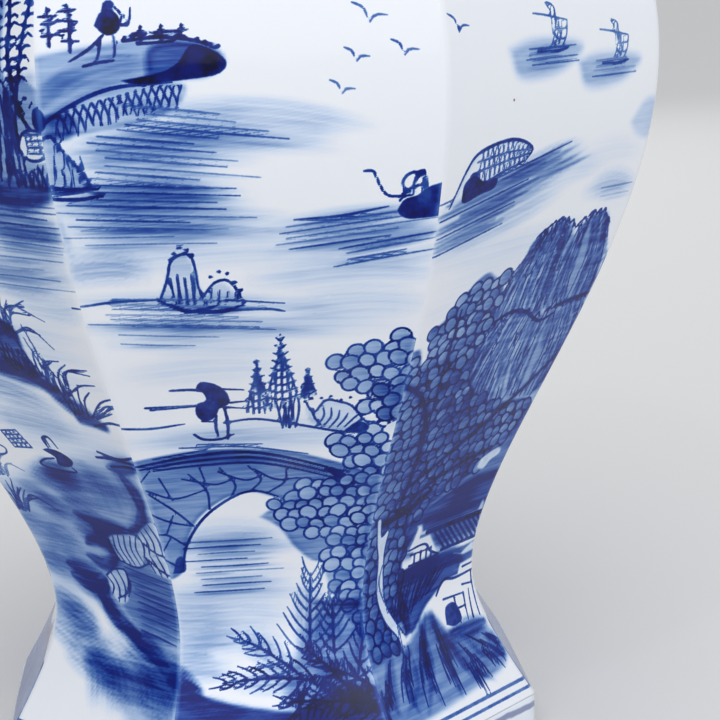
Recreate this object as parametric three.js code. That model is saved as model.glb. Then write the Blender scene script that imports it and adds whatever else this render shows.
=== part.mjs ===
// Octagonal covered porcelain jar: eight curved wall slabs luted along the arrises,
// with a floor slab, a foot ring, a neck collar and a lifting lid.
// Millimetres, +Z up. The origin is on the axis, where the foot stands; the front wall faces -Y.
import * as THREE from "three";

// ---- driving dimensions ----
const sides = 8;
const footHeight = 10;
const footEdge = 65;
const footWidth = 11;
const footBevel = 1.4;
const waistApothem = 51.5;
const waistHeight = 41.5;
const bellyApothem = 97.3;
const bellyHeight = 170;
const neckApothem = 47;
const shoulderHeight = 232;
const neckHeight = 15;
const neckWall = 6;
const lipOverhang = 1.5;
const lipHeight = 6;
const wall = 6;
const floorThickness = 6;
const lidBrimOverhang = 11;
const lidBrimThickness = 4.5;
const lidBrimShelf = 7;
const lidDomeHeight = 36;
const lidCrownApothem = 12;
const lidMouthStep = 2.3;
const lidWall = 5;
const locatingWall = 4.5;
const locatingDepth = 9;
const knobHeight = 29;
const knobBase = 10.5;
const knobStem = 6.8;
const knobBulb = 13;

// how far each bend of the wall's outline holds its direction
const flarePull = 10;
const flareLean = 0.58;
const waistPullDown = 10;
const waistPullUp = 29;
const bellyPullDown = 49;
const bellyPullUp = 33;
const shoulderPull = 27;

// gaps between luted pieces, and the lid's freedom in the mouth
const seam = 0.3;
const floorClearance = 0.5;
const lidClearance = 1.2;

// steps along each bend, and around a turned piece
const flareSteps = 10;
const bodySteps = 22;
const shoulderSteps = 12;
const domeSteps = 9;
const roundSides = 40;

// ---- finishes ----
const glaze = new THREE.MeshStandardMaterial({ color: 0xdde2ea, roughness: 0.16, metalness: 0 });
const footGlaze = new THREE.MeshStandardMaterial({ color: 0xd6dbe2, roughness: 0.24, metalness: 0 });
const innerGlaze = new THREE.MeshStandardMaterial({ color: 0xe2e3e0, roughness: 0.3, metalness: 0 });

// heights and widths that follow from the driving dimensions
const neckTop = shoulderHeight + neckHeight;
const locatingOutside = neckApothem - neckWall - lidClearance;
const locatingInside = locatingOutside - locatingWall;
const lidBrimApothem = neckApothem + lidBrimOverhang;
const lidDomeApothem = lidBrimApothem - lidBrimShelf;
const lidMouthApothem = locatingInside - lidMouthStep;
const brimBottom = neckTop + seam;
const brimTop = brimBottom + lidBrimThickness;
const crownHeight = brimTop + lidDomeHeight;

const halfAngle = Math.PI / sides;
const toCorner = 1 / Math.cos(halfAngle);

function bend(from, leave, arrive, to) {
  const points = [from, leave, arrive, to].map(([x, z]) => new THREE.Vector2(x, z));
  return new THREE.CubicBezierCurve(...points);
}

// The wall's outline as apothem and height, from the foot edge up to the neck.
// depth is how far inside the outer face the outline runs.
function wallOutline(depth) {
  const edge = footEdge - depth * Math.hypot(1, flareLean);
  const waist = waistApothem - depth;
  const belly = bellyApothem - depth;
  const top = shoulderHeight - depth;
  const flare = bend(
    [edge, footHeight],
    [edge - flareLean * flarePull, footHeight + flarePull],
    [waist, waistHeight - waistPullDown],
    [waist, waistHeight]
  );
  const body = bend(
    [waist, waistHeight],
    [waist, waistHeight + waistPullUp],
    [belly, bellyHeight - bellyPullDown],
    [belly, bellyHeight]
  );
  const shoulder = bend(
    [belly, bellyHeight],
    [belly, bellyHeight + bellyPullUp],
    [neckApothem + shoulderPull, top],
    [neckApothem, top]
  );
  return [
    ...flare.getPoints(flareSteps),
    ...body.getPoints(bodySteps).slice(1),
    ...shoulder.getPoints(shoulderSteps).slice(1),
  ];
}

// Apothem of an outline at a height below its belly.
function apothemAt(outline, height) {
  const above = outline.findIndex((point) => point.y > height);
  const low = outline[above - 1];
  const high = outline[above];
  return low.x + ((high.x - low.x) * (height - low.y)) / (high.y - low.y);
}

// One wall slab: outer and inner faces between two mitred ends that lie on radial planes.
function wallSlab() {
  const outer = wallOutline(0);
  const ring = [...outer, ...wallOutline(wall).reverse()];
  const mitreGap = (seam / 2) * toCorner;
  const vertices = [];
  for (const point of ring) {
    const halfWidth = point.x * Math.tan(halfAngle) - mitreGap;
    vertices.push(-halfWidth, -point.x, point.y);
    vertices.push(halfWidth, -point.x, point.y);
  }
  const count = ring.length;
  const triangles = [];
  for (let i = 0; i < count; i++) {
    const next = (i + 1) % count;
    triangles.push(2 * i, 2 * i + 1, 2 * next + 1);
    triangles.push(2 * i, 2 * next + 1, 2 * next);
  }
  for (let i = 0; i < outer.length - 1; i++) {
    const across = count - 1 - i;
    triangles.push(2 * i, 2 * (i + 1), 2 * (across - 1));
    triangles.push(2 * i, 2 * (across - 1), 2 * across);
    triangles.push(2 * i + 1, 2 * (across - 1) + 1, 2 * (i + 1) + 1);
    triangles.push(2 * i + 1, 2 * across + 1, 2 * (across - 1) + 1);
  }
  const geometry = new THREE.BufferGeometry();
  geometry.setAttribute("position", new THREE.Float32BufferAttribute(vertices, 3));
  geometry.setIndex(triangles);
  geometry.computeVertexNormals();
  return geometry;
}

// A closed outline of [radius, height] points swept round the axis. Eight flat sides take
// apothems, so their corners are pushed out; a round piece takes plain radii.
function swept(outline, faces) {
  const stretch = faces === sides ? toCorner : 1;
  const points = outline.map(([radius, height]) => new THREE.Vector2(radius * stretch, height));
  const geometry = new THREE.LatheGeometry(points, faces, Math.PI / faces);
  geometry.rotateX(Math.PI / 2);
  return geometry;
}

function footRing() {
  const inside = footEdge - footWidth;
  return swept(
    [
      [inside, footHeight - seam],
      [inside, footBevel],
      [inside + footBevel, 0],
      [footEdge - footBevel, 0],
      [footEdge, footBevel],
      [footEdge, footHeight - seam],
      [inside, footHeight - seam],
    ],
    sides
  );
}

function floorSlab() {
  const lining = wallOutline(wall);
  const top = footHeight + floorThickness;
  return swept(
    [
      [0, footHeight],
      [lining[0].x - floorClearance, footHeight],
      [apothemAt(lining, top) - floorClearance, top],
      [0, top],
    ],
    sides
  );
}

function neckCollar() {
  const outside = neckApothem - seam;
  const inside = neckApothem - neckWall;
  const lip = outside + lipOverhang;
  return swept(
    [
      [inside, shoulderHeight - wall],
      [outside, shoulderHeight - wall],
      [outside, neckTop - lipHeight],
      [lip, neckTop - lipHeight + lipOverhang],
      [lip, neckTop - 1],
      [lip - 1, neckTop],
      [inside + 1, neckTop],
      [inside, neckTop - 1],
      [inside, shoulderHeight - wall],
    ],
    sides
  );
}

// The dome's ogee, from the brim up to the flat crown that carries the knob.
function domeOutline(depth) {
  const foot = lidDomeApothem - depth;
  const crown = crownHeight - depth;
  const rise = crown - brimTop;
  const ogee = bend(
    [foot, brimTop],
    [foot - 4, brimTop + rise * 0.7],
    [lidCrownApothem + 14, crown],
    [lidCrownApothem, crown]
  );
  return ogee.getPoints(domeSteps).map((point) => [point.x, point.y]);
}

function lidDome() {
  const inner = domeOutline(lidWall);
  const outer = domeOutline(0);
  return swept(
    [
      [0, inner[inner.length - 1][1]],
      ...inner.reverse(),
      [lidMouthApothem, brimBottom + 2],
      [lidMouthApothem, brimBottom],
      [lidBrimApothem - 1, brimBottom],
      [lidBrimApothem, brimBottom + 1],
      [lidBrimApothem, brimTop - 1.5],
      [lidBrimApothem - 1.5, brimTop],
      ...outer,
      [0, crownHeight],
    ],
    sides
  );
}

function locatingRing() {
  const bottom = neckTop - locatingDepth;
  return swept(
    [
      [locatingInside, neckTop],
      [locatingInside, bottom],
      [locatingOutside - 1, bottom],
      [locatingOutside, bottom + 1],
      [locatingOutside, neckTop],
      [locatingInside, neckTop],
    ],
    roundSides
  );
}

function knob() {
  const base = crownHeight + seam;
  const tip = base + knobHeight;
  const neckLevel = base + 5;
  const bulbLevel = tip - knobBulb * 0.95;
  const lower = bend(
    [knobStem, neckLevel],
    [knobStem, neckLevel + 3],
    [knobBulb, bulbLevel - 8],
    [knobBulb, bulbLevel]
  );
  const upper = bend([knobBulb, bulbLevel], [knobBulb, bulbLevel + 8], [3, tip], [0, tip]);
  const curve = [...lower.getPoints(7), ...upper.getPoints(7).slice(1)];
  return swept(
    [
      [0, base],
      [knobBase - 1, base],
      [knobBase, base + 1],
      [knobBase - 1, base + 3],
      ...curve.map((point) => [point.x, point.y]),
    ],
    roundSides
  );
}

function piece(name, geometry, material) {
  const mesh = new THREE.Mesh(geometry, material);
  mesh.name = name;
  return mesh;
}

const wallNames = [
  "wall_front",
  "wall_front_right",
  "wall_right",
  "wall_back_right",
  "wall_back",
  "wall_back_left",
  "wall_left",
  "wall_front_left",
];

const jar = new THREE.Group();
for (let i = 0; i < sides; i++) {
  const slab = piece(wallNames[i], wallSlab(), glaze);
  slab.rotation.z = i * 2 * halfAngle;
  jar.add(slab);
}
jar.add(piece("foot_ring", footRing(), footGlaze));
jar.add(piece("floor_slab", floorSlab(), innerGlaze));
jar.add(piece("neck_collar", neckCollar(), glaze));

const lid = new THREE.Group();
lid.add(piece("lid_dome", lidDome(), glaze));
lid.add(piece("lid_locating_ring", locatingRing(), innerGlaze));
lid.add(piece("lid_knob", knob(), glaze));

const coveredJar = new THREE.Group();
coveredJar.add(jar);
coveredJar.add(lid);

export default coveredJar;
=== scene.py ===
# %% [markdown]
# # A painted octagonal jar
# The jar is porcelain: eight curved walls meet at softly rounded arrises, under a lid that lifts off.
# The frame holds its real sizes and its moving bodies. This file makes the surfaces that are seen, and the
# cobalt landscape under their glaze.

# %% Load the frame
import math
import bmesh
import bpy
import numpy as np
from mathutils import Matrix, Vector


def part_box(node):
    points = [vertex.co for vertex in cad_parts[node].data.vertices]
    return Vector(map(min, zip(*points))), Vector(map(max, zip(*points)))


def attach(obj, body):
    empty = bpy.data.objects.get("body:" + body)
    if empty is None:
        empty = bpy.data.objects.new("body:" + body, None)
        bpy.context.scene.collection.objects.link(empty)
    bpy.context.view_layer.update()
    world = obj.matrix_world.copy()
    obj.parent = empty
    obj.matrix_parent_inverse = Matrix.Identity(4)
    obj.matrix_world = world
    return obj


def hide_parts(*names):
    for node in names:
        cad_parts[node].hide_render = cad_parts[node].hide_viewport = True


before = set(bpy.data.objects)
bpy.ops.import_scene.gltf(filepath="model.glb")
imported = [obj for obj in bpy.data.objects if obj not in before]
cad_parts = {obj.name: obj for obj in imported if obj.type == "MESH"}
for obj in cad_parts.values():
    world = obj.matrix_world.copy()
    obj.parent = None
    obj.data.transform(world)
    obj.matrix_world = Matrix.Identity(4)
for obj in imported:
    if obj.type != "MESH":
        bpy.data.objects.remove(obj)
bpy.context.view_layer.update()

MM = 0.001

# %% [markdown]
# The camera stands a little above the widest part of the jar, half a metre in front of it, and looks
# slightly down. It is turned a few degrees, so the jar leans in the view. A long lens could stand further
# back, but the foot and the belly are seen from clearly different heights, which only a near camera gives.

# %% Camera
CAMERA_PLACE = Vector((-12.3, -492.4, 191.2)) * MM
CAMERA_AZIMUTH = math.radians(-4.68)
CAMERA_PITCH = math.radians(11.35)
CAMERA_ROLL = math.radians(-3.1)
CAMERA_LENS = 99.7


def add_camera():
    back = Vector((
        math.sin(CAMERA_AZIMUTH) * math.cos(CAMERA_PITCH),
        -math.cos(CAMERA_AZIMUTH) * math.cos(CAMERA_PITCH),
        math.sin(CAMERA_PITCH),
    ))
    level = Vector((math.cos(CAMERA_AZIMUTH), math.sin(CAMERA_AZIMUTH), 0))
    rise = back.cross(level)
    right = level * math.cos(CAMERA_ROLL) + rise * math.sin(CAMERA_ROLL)
    up = back.cross(right)
    turn = Matrix((right, up, back)).transposed()
    bpy.ops.object.camera_add(location=CAMERA_PLACE, rotation=turn.to_euler())
    camera = bpy.context.object
    camera.data.lens = CAMERA_LENS
    camera.data.sensor_width = 36
    camera.data.clip_start = 0.01
    bpy.context.scene.camera = camera


add_camera()
print("camera lens in mm:", CAMERA_LENS)

# %% [markdown]
# A glossy jar shows its lights as reflections. The main light is a wide, hazy sun high in front of the jar,
# because a narrow one would lay a veil of shine over the dark cobalt on the foot. Large soft panels fill
# the sides, and one small lamp leaves the few points of light that a fired glaze has. The floor is plain
# and pale.

# %% Light and floor
FLOOR_TONE = (0.7, 0.7, 0.7, 1)
FLOOR_SIZE = 60
SKY_TONE = (0.93, 0.95, 1.0, 1)
SKY_STRENGTH = 0.4
SUN_PLACE = (-0.5, -2.8, 2)
SUN_TURN = (math.radians(49), 0, math.radians(3))
SUN_ENERGY = 1.95
SUN_WIDTH = math.radians(78)
JAR_MIDDLE = Vector((0, 0, 0.13))
SOFTBOXES = (  # name, place, width, height, power
    ("top_panel", (0.1, 0.1, 1.5), 1.4, 1.4, 3),
    ("right_panel", (1.5, -0.5, 0.6), 0.8, 1.2, 2),
    ("small_lamp", (-0.45, -0.96, 1.19), 0.05, 0.05, 0.7),
    ("back_panel", (-0.3, 1.5, 0.8), 1.6, 1.0, 5),
)


def add_softbox(name, place, width, height, power):
    """A rectangular lamp that faces the middle of the jar."""
    turn = (JAR_MIDDLE - Vector(place)).to_track_quat("-Z", "Y").to_euler()
    bpy.ops.object.light_add(type="AREA", location=place, rotation=turn)
    light = bpy.context.object
    light.name = name
    light.data.shape = "RECTANGLE"
    light.data.size = width
    light.data.size_y = height
    light.data.energy = power


def add_studio():
    bpy.ops.object.light_add(type="SUN", location=SUN_PLACE, rotation=SUN_TURN)
    sun = bpy.context.object
    sun.name = "main_light"
    sun.data.energy = SUN_ENERGY
    sun.data.angle = SUN_WIDTH
    for softbox in SOFTBOXES:
        add_softbox(*softbox)
    world = bpy.data.worlds.new("studio")
    bpy.context.scene.world = world
    world.use_nodes = True
    sky = world.node_tree.nodes["Background"]
    sky.inputs["Color"].default_value = SKY_TONE
    sky.inputs["Strength"].default_value = SKY_STRENGTH
    bpy.context.scene.view_settings.view_transform = "Standard"


def add_floor():
    bpy.ops.mesh.primitive_plane_add(size=FLOOR_SIZE, location=(0, 0, 0))
    floor = bpy.context.object
    floor.name = "floor"
    paper = bpy.data.materials.new("pale_floor")
    paper.use_nodes = True
    shader = paper.node_tree.nodes["Principled BSDF"]
    shader.inputs["Base Color"].default_value = FLOOR_TONE
    shader.inputs["Roughness"].default_value = 0.75
    floor.data.materials.append(paper)


add_studio()
add_floor()
print("lights:", 1 + len(SOFTBOXES))

# %% [markdown]
# Every size here comes from the frame or is one of the bends that the walls were designed with. The wall is
# drawn as its outline in a plane through the axis: how far the flat face is from the axis, at each height.

# %% Sizes
SIDES = 8
HALF_ANGLE = math.pi / SIDES
TO_CORNER = 1 / math.cos(HALF_ANGLE)
HALF_FACE = math.tan(HALF_ANGLE)  # half a side's width for each mm of apothem



def box_mm(node):
    """The low and the high corner of a piece of the frame, in mm."""
    return [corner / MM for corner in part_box(node)]


wall_low, wall_high = box_mm("wall_front")
foot_high = box_mm("foot_ring")[1]
collar_low, collar_high = box_mm("neck_collar")
dome_low, dome_high = box_mm("lid_dome")
knob_low, knob_high = box_mm("lid_knob")
locating_low, locating_high = box_mm("lid_locating_ring")
slab_low, slab_high = box_mm("floor_slab")

FOOT_TOP = wall_low.z
FOOT_EDGE = foot_high.y
FOOT_WIDTH = 11
WAIST = 51.5
WAIST_HEIGHT = 41.5
BELLY = -wall_low.y
BELLY_HEIGHT = 170
SHOULDER_TOP = wall_high.z
NECK = collar_high.y - 1.2
WALL = 6
MITRE_GAP = 0.1
FLARE_LEAN = 0.58
ARRIS_RADIUS = 3.2


def bend(start, leave, arrive, end, count):
    """Points of a curve through start and end, leaving and arriving towards two handles."""
    t = np.linspace(0, 1, count)[:, None]
    start, leave, arrive, end = [np.array(point, float) for point in (start, leave, arrive, end)]
    return (1 - t) ** 3 * start + 3 * (1 - t) ** 2 * t * leave + 3 * (1 - t) * t ** 2 * arrive + t ** 3 * end


def halves(points, share):
    """Cuts one curve in two at a share of its way, without changing its shape."""
    start, leave, arrive, end = [np.array(point, float) for point in points]
    a = start + (leave - start) * share
    b = leave + (arrive - leave) * share
    c = arrive + (end - arrive) * share
    ab = a + (b - a) * share
    bc = b + (c - b) * share
    middle = ab + (bc - ab) * share
    return (start, a, ab, middle), (middle, bc, c, end)


def wall_bends(depth):
    """The bends of a wall's outline, as (apothem, height), depth mm inside the outer face."""
    edge = FOOT_EDGE - depth * math.hypot(1, FLARE_LEAN)
    waist = WAIST - depth
    belly = BELLY - depth
    top = SHOULDER_TOP - depth
    low = (waist, WAIST_HEIGHT)
    wide = (belly, BELLY_HEIGHT)
    flare = ((edge, FOOT_TOP), (edge - FLARE_LEAN * 10, FOOT_TOP + 10), (waist, WAIST_HEIGHT - 10), low)
    body = (low, (waist, WAIST_HEIGHT + 29), (belly, BELLY_HEIGHT - 49), wide)
    shoulder = (wide, (belly, BELLY_HEIGHT + 33), (NECK + 27, top), (NECK, top))
    return flare, body, *halves(shoulder, 0.2)


outline = np.concatenate([bend(*part, 200) for part in wall_bends(0)])
outline = outline[np.r_[True, np.diff(outline[:, 1]) > 0]]
outline_length = np.r_[0, np.cumsum(np.hypot(*np.diff(outline, axis=0).T))]
print("wall outline in mm along the face:", round(outline_length[-1], 1))


def along_at(height):
    """Distance along the wall's face, in mm, from the foot up to a height."""
    return np.interp(height, outline[:, 1], outline_length)

# %% [markdown]
# Some helpers for working in edit mode. An operator acts on whatever is selected, so each step first clears
# the selection and then picks its own vertices, edges or faces by where they are.

# %% Helpers for editing


def clear_selection():
    if bpy.context.object and bpy.context.object.mode != "OBJECT":
        bpy.ops.object.mode_set(mode="OBJECT")
    bpy.ops.object.select_all(action="DESELECT")


def make_active(piece):
    clear_selection()
    piece.select_set(True)
    bpy.context.view_layer.objects.active = piece


def read(items, name, width=1, kind=float):
    """One property of every vertex, corner or face as an array."""
    values = np.empty(len(items) * width, kind)
    items.foreach_get(name, values)
    return values.reshape(-1, width) if width > 1 else values


def store(mesh, name, values):
    attribute = mesh.attributes.get(name) or mesh.attributes.new(name, "FLOAT", "POINT")
    attribute.data.foreach_set("value", np.asarray(values, np.float32))


def places(piece):
    """All of a piece's vertex places as one array of rows."""
    return read(piece.data.vertices, "co", 3)


def put_places(piece, rows):
    piece.data.vertices.foreach_set("co", rows.ravel())
    piece.data.update()


def pick_edges(piece, rule):
    """In edit mode, select only the edges whose two ends satisfy a rule."""
    bpy.ops.mesh.select_mode(type="EDGE")
    bpy.ops.mesh.select_all(action="DESELECT")
    grid = bmesh.from_edit_mesh(piece.data)
    for edge in grid.edges:
        if rule(edge.verts[0].co, edge.verts[1].co):
            edge.select_set(True)
    bmesh.update_edit_mesh(piece.data)


def apply_modifiers(piece):
    make_active(piece)
    for modifier in list(piece.modifiers):
        bpy.ops.object.modifier_apply(modifier=modifier.name)


def smooth(piece, degrees=35):
    make_active(piece)
    bpy.ops.object.shade_smooth_by_angle(angle=math.radians(degrees))


def face_coordinates(rows):
    """For places in mm: the turn of the side that each belongs to, its place across it, and its apothem."""
    angle = np.arctan2(rows[:, 0], -rows[:, 1])
    face = np.round(angle / (2 * HALF_ANGLE)) * 2 * HALF_ANGLE
    reach = np.hypot(rows[:, 0], rows[:, 1])
    return face, reach * np.sin(angle - face), reach * np.cos(angle - face)


def soften_arrises(rows, radius=ARRIS_RADIUS):
    """Rounds the corners of an eight-sided shape, given its vertex places in mm."""
    face, across, apothem = face_coordinates(rows)
    half = apothem * HALF_FACE
    room = np.minimum(radius * HALF_FACE, half * 0.8) + 1e-9
    r = room / HALF_FACE
    share = np.clip((np.abs(across) - (half - room)) / room, 0, 1)
    turn = share * HALF_ANGLE
    rounded = share > 0
    new_across = np.where(rounded, np.sign(across) * (half - room + r * np.sin(turn)), across)
    new_apothem = np.where(rounded, apothem - r + r * np.cos(turn), apothem)
    rows[:, 0] = new_apothem * np.sin(face) + new_across * np.cos(face)
    rows[:, 1] = -new_apothem * np.cos(face) + new_across * np.sin(face)
    return rows

# %% [markdown]
# One wall is a slab that bends in one direction only. Its outline is drawn as four curves, which are turned
# into a line of edges and extruded sideways into a strip. The strip is cut into many columns, because the
# brushwork is stored on its vertices, and then it is spread between the two mitre planes. The inside of the
# slab is a coarser strip, and a bridge closes the gap between the two.

# %% One wall slab


# steps along the flare, the body and the two halves of the shoulder
FINE_STEPS = (66, 384, 50, 78)
PLAIN_STEPS = (44, 210, 26, 70)
INNER_STEPS = (8, 20, 4, 9)
FINE_COLUMNS = 164
PLAIN_COLUMNS = 110
INNER_COLUMNS = 8


def bent_strip(depth, steps, columns):
    """A strip along the wall's outline, one unit wide each way, with the given steps and columns."""
    parts = []
    for part, count in zip(wall_bends(depth), steps):
        bpy.ops.curve.primitive_bezier_curve_add(location=(0, 0, 0))
        drawn = bpy.context.object
        first, last = drawn.data.splines[0].bezier_points
        for point in (first, last):
            point.handle_left_type = "FREE"
            point.handle_right_type = "FREE"
        start, leave, arrive, end = [Vector((-1, -x, z)) * MM for x, z in part]
        first.co, first.handle_left, first.handle_right = start, start, leave
        last.co, last.handle_left, last.handle_right = end, arrive, end
        drawn.data.resolution_u = count
        drawn.data.splines[0].resolution_u = count
        parts.append(drawn)
    clear_selection()
    for drawn in parts:
        drawn.select_set(True)
    bpy.context.view_layer.objects.active = parts[0]
    bpy.ops.object.convert(target="MESH")
    bpy.ops.object.join()
    strip = bpy.context.object
    bpy.ops.object.mode_set(mode="EDIT")
    bpy.ops.mesh.select_all(action="SELECT")
    bpy.ops.mesh.remove_doubles(threshold=1e-6)
    bpy.ops.mesh.select_all(action="SELECT")
    bpy.ops.mesh.extrude_region_move(TRANSFORM_OT_translate={"value": (2 * MM, 0, 0)})
    pick_edges(strip, lambda a, b: abs(a.x - b.x) > MM)
    bpy.ops.mesh.subdivide(number_cuts=columns - 1)
    bpy.ops.object.mode_set(mode="OBJECT")
    return strip


def wall_blank(steps, columns):
    """A slab between its two mitre planes: a fine outer face, a coarse inner one and a bridge between."""
    outer = bent_strip(0, steps, columns)
    rows = places(outer) / MM
    share = rows[:, 0].copy()
    rows[:, 0] = share * -rows[:, 1] * HALF_FACE
    put_places(outer, soften_arrises(rows) * MM)
    store(outer.data, "outside", np.ones(len(rows)))
    inner = bent_strip(WALL, INNER_STEPS, INNER_COLUMNS)
    rows = places(inner) / MM
    rows[:, 0] *= -rows[:, 1] * HALF_FACE - MITRE_GAP
    put_places(inner, rows * MM)
    store(inner.data, "outside", np.zeros(len(rows)))
    clear_selection()
    inner.select_set(True)
    outer.select_set(True)
    bpy.context.view_layer.objects.active = outer
    bpy.ops.object.join()
    bpy.ops.object.mode_set(mode="EDIT")
    bpy.ops.mesh.select_mode(type="EDGE")
    bpy.ops.mesh.select_all(action="DESELECT")
    bpy.ops.mesh.select_non_manifold()
    bpy.ops.mesh.bridge_edge_loops()
    bpy.ops.mesh.select_all(action="SELECT")
    bpy.ops.mesh.normals_make_consistent(inside=False)
    bpy.ops.object.mode_set(mode="OBJECT")
    return outer


def lay_out_wall(wall):
    """A clean map for the wall: its face fills most of the square, the inside a narrow column."""
    mesh = wall.data
    rows = places(wall) / MM
    outside = read(mesh.attributes["outside"].data, "value")
    corner = read(mesh.loops, "vertex_index", 1, int)
    totals = read(mesh.polygons, "loop_total", 1, int)
    owner = np.repeat(np.arange(len(totals)), totals)
    face_kind = (np.bincount(owner, outside[corner]) / totals)[owner]
    u = rows[:, 0] / (2 * BELLY * HALF_FACE) + 0.5
    v = along_at(rows[:, 2]) / outline_length[-1]
    flat = np.empty((len(corner), 2))
    flat[:, 0] = np.where(face_kind > 0.999, 0.01 + 0.8 * u[corner], 0.985 + 0.01 * outside[corner])
    flat[:, 0] = np.where(face_kind < 0.001, 0.83 + 0.14 * u[corner], flat[:, 0])
    flat[:, 1] = 0.005 + 0.99 * v[corner]
    layer = mesh.uv_layers.new(name="OFBake")
    layer.data.foreach_set("uv", flat.ravel())


fine_wall = wall_blank(FINE_STEPS, FINE_COLUMNS)
plain_wall = wall_blank(PLAIN_STEPS, PLAIN_COLUMNS)
for blank in (fine_wall, plain_wall):
    lay_out_wall(blank)
print("vertices on a wall:", len(fine_wall.data.vertices), len(plain_wall.data.vertices))

# %% [markdown]
# The decoration is cobalt, brushed on the raw body before glazing. Three things are painted: ink lines from
# a pointed brush, flat washes of thinned cobalt, and places left white. Each is kept on the vertices.
# A line is kept as the step from each vertex to the middle of the nearest stroke. Between vertices that step
# changes evenly and passes through zero on the stroke itself, so its length draws a line far thinner than the
# mesh is fine. A colour per vertex would blur, and a plain distance would break thin lines into dots.

# %% The brush
FAR = 3.0


def within(x, s, route):
    """Which places lie inside a closed route, by counting how often it passes them on one side."""
    found = np.zeros(len(x), bool)
    for a, b in zip(route, np.roll(route, -1, axis=0)):
        crosses = (a[1] > s) != (b[1] > s)
        rise = b[1] - a[1] if b[1] != a[1] else 1e-9
        found ^= crosses & (x < a[0] + (s - a[1]) / rise * (b[0] - a[0]))
    return found


def placed(x, z, points, wide=1, tall=None):
    """A motif's points, scaled and moved to their place."""
    tall = wide if tall is None else tall
    return [(x + wide * u, z + tall * v) for u, v in points]


class Canvas:
    """A flat face to paint on, in mm: x across the face and z up the jar."""

    def __init__(self, across, height, seed):
        count = len(across)
        self.x = across
        self.s = along_at(height)
        self.step_x = np.full(count, FAR)
        self.step_s = np.zeros(count)
        self.half = np.zeros(count)
        self.edge = np.full(count, FAR)
        self.tone = np.zeros(count)
        self.solid_edge = np.full(count, FAR)
        self.solid_tone = np.zeros(count)
        self.wash = np.zeros(count)
        self.draw = np.random.default_rng(seed)

    def near(self, route, reach):
        low = route.min(0) - reach
        high = route.max(0) + reach
        inside = (self.x > low[0]) & (self.x < high[0]) & (self.s > low[1]) & (self.s < high[1])
        return np.nonzero(inside)[0]

    def route(self, points, bendy=True):
        """The brush's path through the points, rounded where it has more than two."""
        points = np.array(points, float)
        if bendy and len(points) > 2:
            padded = np.vstack([2 * points[0] - points[1], points, 2 * points[-1] - points[-2]])
            t = np.linspace(0, 1, 6)[:-1, None]
            runs = []
            for a, b, c, d in zip(padded, padded[1:], padded[2:], padded[3:]):
                straight = 2 * b + (c - a) * t
                curved = (2 * a - 5 * b + 4 * c - d) * t ** 2 + (3 * b - a - 3 * c + d) * t ** 3
                runs.append(0.5 * (straight + curved))
            points = np.vstack(runs + [points[-1:]])
        points[:, 1] = along_at(points[:, 1])
        return points

    def steps_to(self, picked, route, half):
        """From each picked vertex, the step to the route and the brush's half width there."""
        px = self.x[picked][:, None]
        ps = self.s[picked][:, None]
        a = route[:-1]
        ab = route[1:] - a
        length = np.maximum((ab ** 2).sum(1), 1e-9)
        t = np.clip(((px - a[:, 0]) * ab[:, 0] + (ps - a[:, 1]) * ab[:, 1]) / length, 0, 1)
        dx = a[:, 0] + t * ab[:, 0] - px
        ds = a[:, 1] + t * ab[:, 1] - ps
        wide = half[:-1] + t * np.diff(half)
        best = (np.hypot(dx, ds) - wide).argmin(1)
        row = np.arange(len(picked))
        return dx[row, best], ds[row, best], wide[row, best]

    def put_line(self, picked, dx, ds, half, tone):
        """Keeps a stroke wherever it lies nearer than what is there, unless it would lighten it."""
        edge = np.hypot(dx, ds) - half
        wins = (edge < self.edge[picked]) & ((self.edge[picked] > 0.1) | (self.tone[picked] <= tone + 0.05))
        wins |= (edge < 0) & (self.tone[picked] < tone)
        chosen = picked[wins]
        self.step_x[chosen] = dx[wins]
        self.step_s[chosen] = ds[wins]
        self.half[chosen] = np.broadcast_to(half, wins.shape)[wins]
        self.edge[chosen] = edge[wins]
        self.tone[chosen] = tone

    def clear_lines(self, chosen):
        self.step_x[chosen] = FAR
        self.step_s[chosen] = 0
        self.half[chosen] = 0
        self.edge[chosen] = FAR

    def line(self, points, width=0.75, tone=0.9, taper=(0.5, 0.25), bendy=True):
        """One brush line, fullest in its middle and thinner at each end by the taper's shares."""
        route = self.route(points, bendy)
        share = np.linspace(0, 1, len(route))
        swell = np.sin(math.pi * share) ** 0.6
        ends = taper[0] + (taper[1] - taper[0]) * share
        half = np.maximum(width / 2 * (ends + (1 - ends) * swell), 0.12)
        picked = self.near(route, width + 1.3)
        self.put_line(picked, *self.steps_to(picked, route, half), tone)

    def lines(self, width, tone, *runs):
        """Several free strokes with the same brush."""
        for run in runs:
            self.line(run, width, tone + self.jitter(0.04), (0.8, 0.4))

    def dab(self, x, z, size=0.6, tone=0.95):
        self.line([(x - 0.05, z), (x + 0.05, z)], size * 2, tone, (1, 1), False)

    def shape(self, points, bendy=True):
        points = list(points)
        return self.route(points + points[:1], bendy)[:-1]

    def covered(self, points, reach, bendy):
        """The vertices near a closed shape, and how far each is from its edge, negative inside it."""
        route = self.shape(points, bendy)
        picked = self.near(route, reach)
        ring = np.vstack([route, route[:1]])
        distance = np.hypot(*self.steps_to(picked, ring, np.zeros(len(ring)))[:2])
        return picked, np.where(within(self.x[picked], self.s[picked], route), -distance, distance)

    def add_wash(self, picked, amount):
        self.wash[picked] = 1 - (1 - self.wash[picked]) * (1 - amount)

    def fill(self, points, strength=0.5, soft=0.8, rim=0.12, bendy=True):
        """A wash of thinned cobalt, with a soft edge and a slightly darker rim where it pooled."""
        picked, distance = self.covered(points, soft * 2, bendy)
        cover = np.clip(0.5 - distance / soft, 0, 1)
        cover = cover * cover * (3 - 2 * cover)
        pooled = rim * np.exp(-((distance + soft * 0.5) / 0.6) ** 2)
        self.add_wash(picked, np.clip(strength * cover + pooled * cover, 0, 1))

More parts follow.
